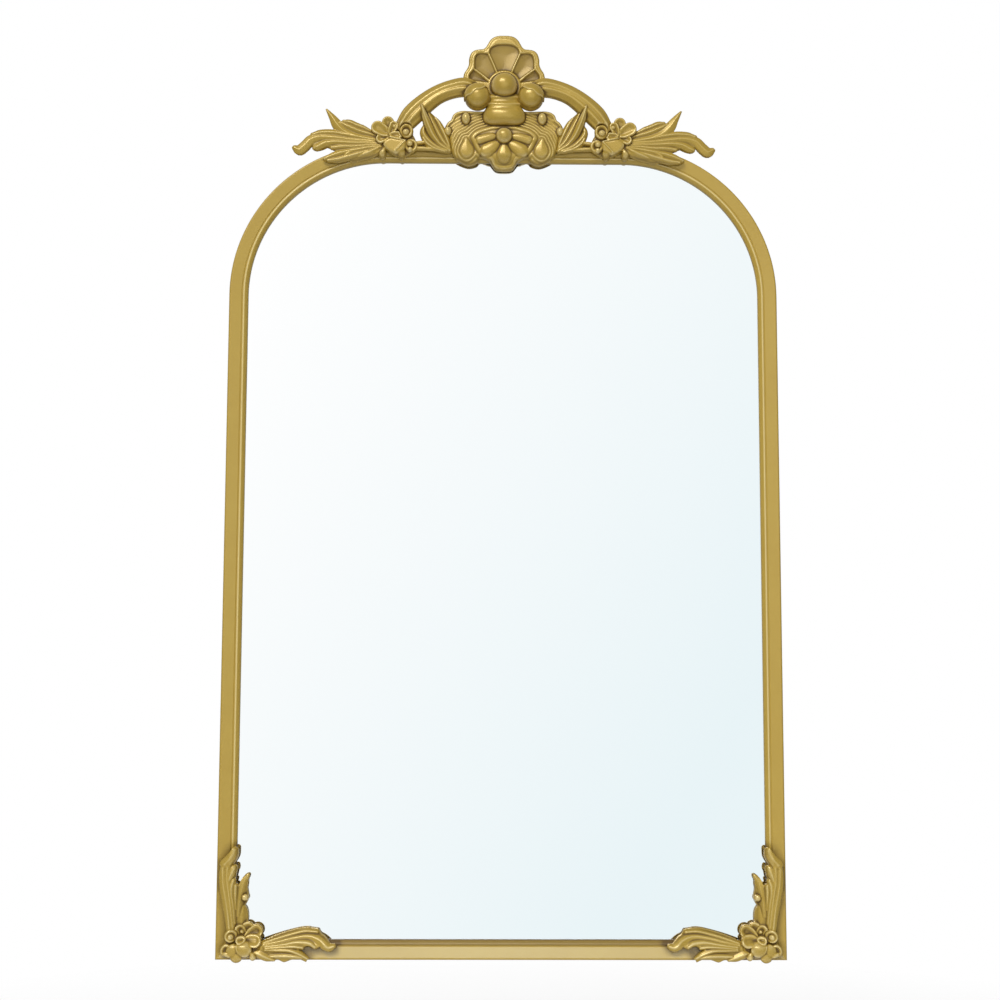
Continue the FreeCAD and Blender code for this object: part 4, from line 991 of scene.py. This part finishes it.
# lower corners: upright leaf, level leaf and flower; places are (in from the frame's side, up, half width)
cornerLeaf = {
    "pitch": 0.45, "sink": (9.0, 14.0, 18.0), "plateRound": 2.4, "plateDrop": 2.6, "leafRise": 6.0,
    "fingerBase": 5.6, "fingerCrown": 2.8, "shadowReach": 5.0, "shadowDepth": 0.7, "flowerRise": 5.4,
    "heart": (32, 22.6), "fingerSharp": 0.75,
    "cups": [(17.7, 25.9, 7.4, 7.0, 20, 6.4, 4.4, 3.6), (12.5, 11.3, 6.8, 6.2, 60, 6, 4.0, 3.2)],
    "lastPetal": ((22.4, 20.6), 4.4, 8.2),
    "foldLines": [[(23.6, 16, 0.8), (25, 11.6, 1.1), (28.4, 7.6, 0.8)]],
    "beads": [(17.4, 24.8, 3.4, 7), (28.6, 29.6, 2.3, 7.8), (30.8, 65, 3.8, 6.6)],
    "bud": [(38.6, 9.6, 1.6), (40.4, 6, 3.2), (41, 4, 3.6)], "grid": (-2, 132, -4, 124),
    "uprightForm": (6.2, 2.2, 0.6), "budCrown": 4.0, "foldLineForm": (9.6, 1.8), "shadowTop": 150.0,
    "shadowEvery": 9,
    "upright": [
        [(12.4, 43.8), (10.2, 53.4), (7.6, 63.4), (5.4, 73.4), (3.4, 83.4), (3.4, 93.4), (4.4, 98.9)],
        [(7.2, 100.4), (12.2, 105.4), (15.7, 110.4), (15.7, 115.4), (19.2, 118.9)],
        [(22.7, 115.9), (23.2, 109.4), (21.2, 104.4), (17.7, 99.4)],
        [(20.2, 96.4), (21.7, 91.4), (20.2, 85.4), (18.2, 83.4)],
        [(20.7, 81.4), (23.2, 78.4)],
        [(27.2, 82.4), (29.7, 88.4), (32.2, 89), (34.7, 87.4)],
        [(32.8, 82.4), (32.7, 76.4), (34.2, 64.4), (30.7, 56.4)],
        [(33.2, 51.4), (34.2, 45.7), (34, 41.9), (29.3, 29.6)],
        [(14.3, 29.6)],
    ],
    "level": [
        [(65, 24.5), (80, 29), (93, 32), (105, 32.5), (110, 31)],
        [(113.5, 26.5), (118, 23.5), (122, 18.5), (125, 16.5), (128, 18)],
        [(127, 12.5), (122, 9.5), (117, 11), (113, 15)],
        [(106, 12), (100, 16)],
        [(95, 14), (89, 12)],
        [(95, 8), (99, 3), (97.5, -1.4)],
        [(90, 1.6), (82, 1), (74, -1.4), (67, 1), (56, -0.8), (45, 3)],
        [(48, 18)],
    ],
    "flower": [
        [(14, 30), (12, 27), (11.5, 21), (9, 14), (8.5, 8), (12, 5), (20, 2), (27, 1.4), (36, 3), (45, 6),
         (47, 15), (46, 21), (45.6, 28), (42, 33), (35, 36), (26, 33.6)],
    ],
    "uprightFingers": [
        [(9.7, 100.9, 5.6), (14.2, 105.9, 4.9), (18.2, 110.9, 4.6), (19.6, 115.4, 3.7)],
        [(16, 32.4, 3.2), (14, 48.5, 4), (11.4, 63.4, 4.6), (8.6, 78.4, 4.8), (7.8, 90.4, 4.4),
         (7.6, 97.4, 2.9)],
        [(19.5, 32.4, 3.2), (17.2, 53.4, 4.4), (14.8, 68.4, 5.1), (12.2, 83.4, 5.4), (12.2, 97.4, 3.4)],
        [(20.8, 39, 2), (19, 58.4, 2.9), (17.2, 70, 3), (17.4, 78, 3.2), (19.4, 84, 2.2)],
        [(12.6, 78, 2), (15.6, 88, 3.6), (19, 95, 3.8), (20.2, 98, 2.4)],
        [(21.8, 53.4, 1.5), (21.2, 68.4, 2.4), (21.2, 78.4, 2.2)],
        [(24.6, 46.6, 3.2), (25.2, 60.4, 4.4), (27.6, 73.4, 5.1), (30.2, 83.4, 3.4), (32.8, 87.6, 2.4)],
        [(28.2, 35.3, 5.6), (28.2, 44.7, 6.1), (28.8, 51.4, 4.4), (28.6, 55.9, 1.7)],
    ],
    "fingers": [
        [(52, 19, 2.2), (65, 23, 3.1), (80, 27, 3.6), (95, 30, 3.6), (108, 29.4, 2.9)],
        [(52, 17, 2.4), (68, 20.4, 3.6), (85, 24, 4.1), (100, 25.4, 4.3), (112, 21.5, 5.3),
         (120, 14.5, 4.8), (126.5, 15.5, 2.4)],
        [(54, 15, 2.2), (72, 17.2, 3.1), (88, 19.6, 3.6), (100, 18.6, 3.4), (106, 15, 2.2)],
        [(54, 13, 1.9), (70, 14.4, 2.9), (84, 15.2, 3.1), (93, 14, 2.2)],
        [(54, 11.4, 1.9), (68, 11.4, 2.9), (80, 10.8, 3.4), (90, 7.4, 3.6), (98.5, 3, 1.9)],
        [(42, 8.8, 1.9), (48, 7, 4.3), (56, 3.8, 4.1), (63.5, 1, 1.4)],
        [(60, 5, 2.4), (72, 5.4, 3.4), (84, 5, 3.4), (93, 3.8, 1.9)],
    ],
    "petals": [((36, 40), 6.8, 6.4), ((23.8, 36.6), 5.6, 6.2), ((49.4, 34.4), 7.4, 6.8),
        ((49.6, 19.4), 7, 6.6)],
    "lobes": [(20, 11, 8.0, 7.0, 40, 6.8, 3.4), (23.6, 4.6, 6.6, 6.4, 0, 6.2, 4.0),
        (14.5, 6.6, 5.4, 2.8, 340, 7, 2.8), (31, 13, 9.6, 8.6, 330, 7.2, 5.2)],
}


def shadowBeside(places):
    # painted shadow: the frame is darkened beside a casting, where the casting shades it
    s = cornerLeaf
    tree = KDTree(len(places))
    for number, (x, z) in enumerate(places):
        tree.insert((x, z, 0), number)
    tree.balance()
    for obj in frames:
        layer = obj.data.attributes["cavity"].data
        for vertex, tone in zip(obj.data.vertices, layer):
            x, z = abs(vertex.co.x) / mm, vertex.co.z / mm
            if z < s["shadowTop"] and vertex.co.y < 0:
                off = tree.find((-x, z, 0))[2]
                tone.value -= s["shadowDepth"] * math.exp(-(off / s["shadowReach"]) ** 2)


def makeCorners():
    s = cornerLeaf
    field = newRelief(*s["grid"], s["pitch"])
    for key, rise in (("upright", s["leafRise"]), ("level", s["leafRise"]), ("flower", s["flowerRise"])):
        layPlate(field, runsLoop(s[key]), rise, s["plateRound"], s["plateDrop"])
    for finger in s["uprightFingers"]:
        layStroke(field, finger, *s["uprightForm"])
    for finger in s["fingers"]:
        layStroke(field, finger, s["fingerBase"], s["fingerCrown"], s["fingerSharp"])
    layStroke(field, s["bud"], s["fingerBase"], s["budCrown"])
    for petal in s["petals"]:
        layPetal(field, s["heart"], *petal)
    for form in s["cups"] + s["lobes"]:
        layDome(field, *form)
    layPetal(field, s["heart"], *s["lastPetal"])
    for line in s["foldLines"]:
        layStroke(field, line, *s["foldLineForm"])
    for bead in s["beads"]:
        layBall(field, *bead)
    field["x"] = field["x"] - halfWidth
    sinkOverGlass(field, *s["sink"])
    for side, flip in (("left", False), ("right", True)):
        name = "corner_ornament_" + side
        settle(castRelief(name, field, flip), "mirror", "casting_paint", name)
    # painted shadow on the frame beside the corner castings
    covered = field["reach"] > 0
    shadowBeside(np.stack([field["x"][covered], field["z"][covered]], 1)[::s["shadowEvery"]])


makeCorners()
print("ornaments carved")

# fixings: one blank of each kind, set out at the places of the solids they stand for
hardware = {
    "headRadius": 2.8, "headHeight": 1.7, "headRim": 0.35, "headPitch": 0.2,
    "crossHalf": 1.6, "crossWidth": 0.36, "crossDepth": 0.8,
    "bumperRadius": 5.5, "bumperHeight": 6.0, "bumperRim": 1.6, "bumperPitch": 0.4,
    "clipThick": 1.2, "clipHalf": 7.0, "clipCorner": 2.2, "clipGap": 0.3, "clipBend": (1.4, 0.3),
    "clipSmooth": 40, "ringSmooth": 60,
    "wireRadius": 1.25, "wireSides": 20, "ringCorner": 2.6,
    "screws": ("retainer_screws", "crest_screws", "corner_ornament_screws", "corner_key_screws",
               "hanger_screws"),
    "firstSeed": 3,
}


def solidBoxes(node):
    # box of each separate solid of a node, in millimetres
    work = bmesh.new()
    work.from_mesh(nodes[node].data)
    bmesh.ops.remove_doubles(work, verts=work.verts, dist=1e-6)
    boxes = []
    left = set(work.verts)
    while left:
        group = {left.pop()}
        edge = list(group)
        while edge:
            near = {other for e in edge.pop().link_edges for other in e.verts} & left
            left -= near
            group |= near
            edge += near
        places = np.array([v.co for v in group]) / mm
        boxes.append((places.min(0), places.max(0)))
    work.free()
    return sorted(boxes, key=lambda box: tuple(box[0]))  # the same order on every run


def roundBlank(name, radius, pitch, heights):
    # a turned form that faces the wall, its foot on the plane of the host points
    edge = radius + 2.5 * pitch  # keeps the rim off the grid points
    field = newRelief(-edge, edge, -edge, edge, pitch)
    off = np.hypot(field["x"], field["z"])
    field["reach"] = radius - off
    field["rise"] = heights(field["x"], field["z"], np.minimum(off / radius, 1))
    mesh = reliefMesh(name, field, lambda x, z, reach: np.zeros(x.shape), -1)
    return newObject(name, mesh)


def headHeights(x, z, share):
    s = hardware
    dome = s["headRim"] + (s["headHeight"] - s["headRim"]) * (1 - share ** 3.2) ** 0.7
    bars = np.minimum(np.abs(x), np.abs(z)) < s["crossWidth"]
    return dome - s["crossDepth"] * (bars & (np.maximum(np.abs(x), np.abs(z)) < s["crossHalf"]))


def bumperHeights(x, z, share):
    s = hardware
    return s["bumperRim"] + (s["bumperHeight"] - s["bumperRim"]) * (1 - share ** 4) ** 0.6


def tubeFaces(rings, sides, closed):
    faces = []
    for i in range(rings if closed else rings - 1):
        here, after = i * sides, (i + 1) % rings * sides
        for k in range(sides):
            other = (k + 1) % sides
            faces.append((here + k, here + other, after + other, after + k))
    return faces


def clipBlank(section):
    # a strip bent along its section: places are (in from the frame's side, back), rounded at the tab's end
    s = hardware
    path = curveThrough(section, 4)
    along = np.gradient(path, axis=0)
    along /= np.hypot(*along.T)[:, None]
    lift = np.stack([-along[:, 1], along[:, 0]], 1) * s["clipThick"] / 2
    toEnd = np.hypot(*(path - path[-1]).T)
    tight = np.clip(1 - toEnd / s["clipCorner"], 0, 1)
    half = s["clipHalf"] - s["clipCorner"] * (1 - np.sqrt(1 - tight ** 2))
    points = []
    for place, up, wide in zip(path, lift, half):
        for side, face in ((-1, 1), (1, 1), (1, -1), (-1, -1)):
            inset, rear = place + up * face
            points.append((inset * mm, rear * mm, side * wide * mm))
    ends = [(0, 1, 2, 3), tuple(len(points) - 4 + k for k in (3, 2, 1, 0))]
    mesh = closedMesh("clipBlank", points, ends + tubeFaces(len(path), 4, False), s["clipSmooth"])
    return newObject("clipBlank", mesh)


def placeTree():
    tree, given = newTree("placeBlanks", {"Blank": "Object", "Spin": "Float", "Seed": "Int"})
    blank = addNode(tree, "GeometryNodeObjectInfo", {"Object": given["Blank"]}).outputs["Geometry"]
    turn = addNode(tree, "GeometryNodeInputNamedAttribute", {"Name": "turn"}, data_type="FLOAT")
    draw = {3: given["Spin"], "Seed": given["Seed"]}
    spin = addNode(tree, "FunctionNodeRandomValue", draw, data_type="FLOAT")
    angle = math2(tree, "ADD", turn.outputs["Attribute"], spin.outputs[1])
    places = {"Points": given["Geometry"], "Instance": blank, "Rotation": vectorOf(tree, Y=angle)}
    return closeTree(tree, made(tree, "GeometryNodeInstanceOnPoints", places), given["Finish"])


def setOut(node, tree, blank, places, turns, finish, slot, spin=0.0, seed=1):
    mesh = bpy.data.meshes.new(node)
    mesh.from_pydata([tuple(v * mm for v in place) for place in places], [], [])
    paintValues(mesh, "turn", turns)
    obj = newObject(node, mesh)
    runTree(obj, tree, {"Blank": blank, "Spin": spin, "Seed": seed, "Finish": finishes[finish]})
    settle(obj, "mirror", slot, node)


def inwardTurn(x, z):
    # turn about the depth axis that points a blank's x towards the mirror's middle
    step = 0.5
    dx = insetOf(x + step, z) - insetOf(x - step, z)
    dz = insetOf(x, z + step) - insetOf(x, z - step)
    return math.atan2(-dz, dx)


def clipSection(low, high):
    # from the foot on the frame, down the rebate and along the tab on the board
    s = hardware
    foot, tab = low[0] + halfWidth, high[0] + halfWidth
    half = s["clipThick"] / 2
    bend = frameRail["rebateInset"] + s["clipGap"] + half
    top, bottom = high[1] - half, low[1] + half
    wide, tight = s["clipBend"]
    turnDown = [(bend - wide, top), (bend - tight, top - tight), (bend, top - wide)]
    turnIn = [(bend, bottom + wide), (bend + tight, bottom + tight), (bend + wide, bottom)]
    return [(foot, top)] + turnDown + turnIn + [(tab - rest, bottom) for rest in (4, 2, 1, 0)]


def makeHardware():
    s = hardware
    tree = placeTree()
    head = roundBlank("screwBlank", s["headRadius"], s["headPitch"], headHeights)
    pad = roundBlank("bumperBlank", s["bumperRadius"], s["bumperPitch"], bumperHeights)
    clips = solidBoxes("retainer_clips")
    lowest = min(clips, key=lambda box: box[0][0] + box[0][2] * 0.01)  # lowest clip on the left stile
    clip = clipBlank(clipSection(*lowest))
    places, turns = [], []
    for low, high in clips:
        x, z = ((low + high) / 2)[[0, 2]]
        turn = inwardTurn(x, z)
        inset = insetOf(x, z)
        places.append((x - inset * math.cos(turn), 0.0, z + inset * math.sin(turn)))
        turns.append(turn)
    setOut("retainer_clips", tree, clip, places, turns, "platedSteel", "plated_steel")

    def spotsOf(node, level):
        boxes = solidBoxes(node)
        return [((low[0] + high[0]) / 2, level(low, high), (low[2] + high[2]) / 2) for low, high in boxes]
    spots = spotsOf("wall_bumpers", lambda low, high: low[1])
    setOut("wall_bumpers", tree, pad, spots, [0.0] * len(spots), "softRubber", "soft_rubber")
    for seed, node in enumerate(s["screws"], s["firstSeed"]):
        spots = spotsOf(node, lambda low, high: high[1] - s["headHeight"])
        setOut(node, tree, head, spots, [0.0] * len(spots), "platedSteel", "plated_steel", math.pi, seed)
    for blank in (head, pad, clip):
        bpy.data.objects.remove(blank)


def makeRing(side):
    # the hanging ring: one wire bent to a letter D
    name = "hanger_ring_" + side
    radius, sides, corner = hardware["wireRadius"], hardware["wireSides"], hardware["ringCorner"]
    low, high = [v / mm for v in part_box(name)]
    middle = (low + high) / 2
    half = (high.x - low.x) / 2 - radius
    top = high.z - radius
    drop = low.z + radius + half
    quarter = np.linspace(0, math.pi / 2, 6)
    path = [(t, top) for t in np.linspace(corner - half, half - corner, 6)[:-1]]
    path += [(half - corner + corner * math.sin(a), top - corner + corner * math.cos(a)) for a in quarter]
    path += [(half * math.cos(a), drop - half * math.sin(a)) for a in np.linspace(0, math.pi, 21)]
    path += [(-half + corner - corner * math.cos(a), top - corner + corner * math.sin(a))
             for a in quarter[:-1]]
    path = np.array(path)
    along = np.roll(path, -1, 0) - np.roll(path, 1, 0)
    along /= np.hypot(*along.T)[:, None]
    points = []
    for (x, z), (ax, az) in zip(path, along):
        for k in range(sides):
            a = 2 * math.pi * k / sides
            out, back = radius * math.cos(a), radius * math.sin(a)
            points.append(((middle.x + x + out * az) * mm, (middle.y + back) * mm, (z - out * ax) * mm))
    mesh = closedMesh(name, points, tubeFaces(len(path), sides, True), hardware["ringSmooth"])
    settle(newObject(name, mesh, finishes["platedSteel"]), "ring_" + side, "plated_steel", name)


makeHardware()
for side in ("left", "right"):
    makeRing(side)
print("fixings set out")

# camera, floor and light
view = {"place": (-0.0199, -1.6486, 0.3278), "turn": (95.7508, -0.1719, -0.6027), "lens": 54.0}
cameraData = bpy.data.cameras.new("photoView")
cameraData.lens = view["lens"]
cameraData.sensor_width = 36.0
camera = bpy.data.objects.new("photoView", cameraData)
camera.location = view["place"]
camera.rotation_euler = [math.radians(a) for a in view["turn"]]
scene.collection.objects.link(camera)
scene.camera = camera

studio = {
    "floorLevel": -0.35, "floorRadius": 1.9, "floorFade": 0.9, "floorGlow": 0.75,
    "floorColor": (0.86, 0.87, 0.87, 1), "floorMottle": (0.84, 0.85, 0.85, 1),
    "white": (1.0, 1.0, 1.0, 1), "ambient": (0.11, 0.112, 0.114, 1), "sideGlow": (0.3, 0.3, 0.3, 1),
    "glassShade": (0.815, 0.905, 0.93, 1), "shadeLean": 1.67, "shadeSpan": (-0.32, 0.49),
    "frontCone": (0.80, 0.925), "aim": (0, 0, 0.5),
    "lamps": [("keyPanel", (-1.5, -4.2, 4.3), (3.4, 1.9), 214.0, ""),
              ("fillPanel", (0.4, -3.2, 0.7), (2.4, 1.4), 32.0, "fill"),
              ("railPanel", (-0.03, -3.0, 0.66), (1.5, 0.6), 30.0, "sheen"),
              ("backPanel", (-0.6, 2.4, 1.6), (1.8, 1.4), 36.0, "fill")],
    "sheenColor": (0.62, 0.8, 1.0), "sheenOn": "frame_bottom_rail",
}


def makeLamp(name, place, size, power, use):
    data = bpy.data.lights.new(name, "AREA")
    data.shape = "RECTANGLE"
    data.size, data.size_y = size
    data.energy = power
    lamp = bpy.data.objects.new(name, data)
    lamp.location = place
    aim = Vector(studio["aim"]) - Vector(place)
    lamp.rotation_euler = aim.to_track_quat("-Z", "Y").to_euler()
    scene.collection.objects.link(lamp)
    lamp.visible_glossy = use != "fill"  # the fill makes no highlight, so the glass stays clean
    if use == "sheen":  # a strip that only gives the bottom rail its sheen
        lamp.visible_diffuse = False
        data.color = studio["sheenColor"]
        receivers = bpy.data.collections.new(name)
        for obj in scene.objects:
            if obj.name.startswith(studio["sheenOn"]):
                receivers.objects.link(obj)
        lamp.light_linking.receiver_collection = receivers


def seenRays(tree):
    rays = addNode(tree, "ShaderNodeLightPath").outputs
    glossy = math2(tree, "MAXIMUM", rays["Is Glossy Ray"], rays["Is Transmission Ray"])
    return math2(tree, "MAXIMUM", rays["Is Camera Ray"], glossy), rays["Is Camera Ray"]


def mixShader(tree, factor, first, second):
    return made(tree, "ShaderNodeMixShader", {0: factor, 1: first, 2: second})


def makeFloor():
    # a pale round floor that keeps the shadow and fades into the white at its rim
    s = studio
    mesh = bpy.data.meshes.new("floor")
    work = bmesh.new()
    bmesh.ops.create_circle(work, cap_ends=True, radius=s["floorRadius"], segments=96)
    work.to_mesh(mesh)
    work.free()
    mesh.transform(Matrix.Translation((0, 0, s["floorLevel"])))
    material, tree, shader = bareMaterial("paleFloor")
    coords = addNode(tree, "ShaderNodeTexCoord").outputs["Object"]
    tone = mixColor(tree, noise(tree, coords, 60.0, 3.0), s["floorColor"], s["floorMottle"])
    fill(shader, {"Roughness": 0.9, "Base Color": tone})
    glow = made(tree, "ShaderNodeEmission", {"Strength": 1.0})
    seen = math2(tree, "MULTIPLY", seenRays(tree)[0], s["floorGlow"])
    lit = mixShader(tree, seen, shader.outputs[0], glow)
    middle = addNode(tree, "ShaderNodeVectorMath", {0: coords}, operation="LENGTH")
    rim = remap(tree, middle.outputs["Value"], s["floorFade"], s["floorRadius"] * 0.99)
    faded = mixShader(tree, rim, lit, made(tree, "ShaderNodeBsdfTransparent"))
    fill(tree.nodes["Material Output"], {"Surface": faded})
    newObject("floor", mesh, material)


def makeWorld():
    s = studio
    world = bpy.data.worlds.new("studioWhite")
    world.use_nodes = True
    scene.world = world
    tree = world.node_tree
    coords = addNode(tree, "ShaderNodeTexCoord").outputs["Generated"]
    way = addNode(tree, "ShaderNodeSeparateXYZ", {0: coords}).outputs
    lean = math2(tree, "SUBTRACT", way["Z"], math2(tree, "MULTIPLY", way["X"], s["shadeLean"]))
    shade = mixColor(tree, remap(tree, lean, *s["shadeSpan"]), s["glassShade"], s["white"])
    ahead = math2(tree, "MULTIPLY", way["Y"], -1.0)  # white in front of the glass, dimmer all round
    shade = mixColor(tree, remap(tree, ahead, *s["frontCone"]), s["sideGlow"], shade)
    seen, cameraRay = seenRays(tree)
    backdrop = mixColor(tree, cameraRay, shade, s["white"])
    ambient = fill(tree.nodes["Background"], {"Color": s["ambient"], "Strength": 1.0})
    bright = made(tree, "ShaderNodeBackground", {"Color": backdrop, "Strength": 1.0})
    whole = mixShader(tree, seen, ambient.outputs[0], bright)
    fill(tree.nodes["World Output"], {"Surface": whole})


for lamp in studio["lamps"]:
    makeLamp(*lamp)
makeFloor()
makeWorld()
scene.view_settings.view_transform = "Standard"
print("studio lit")
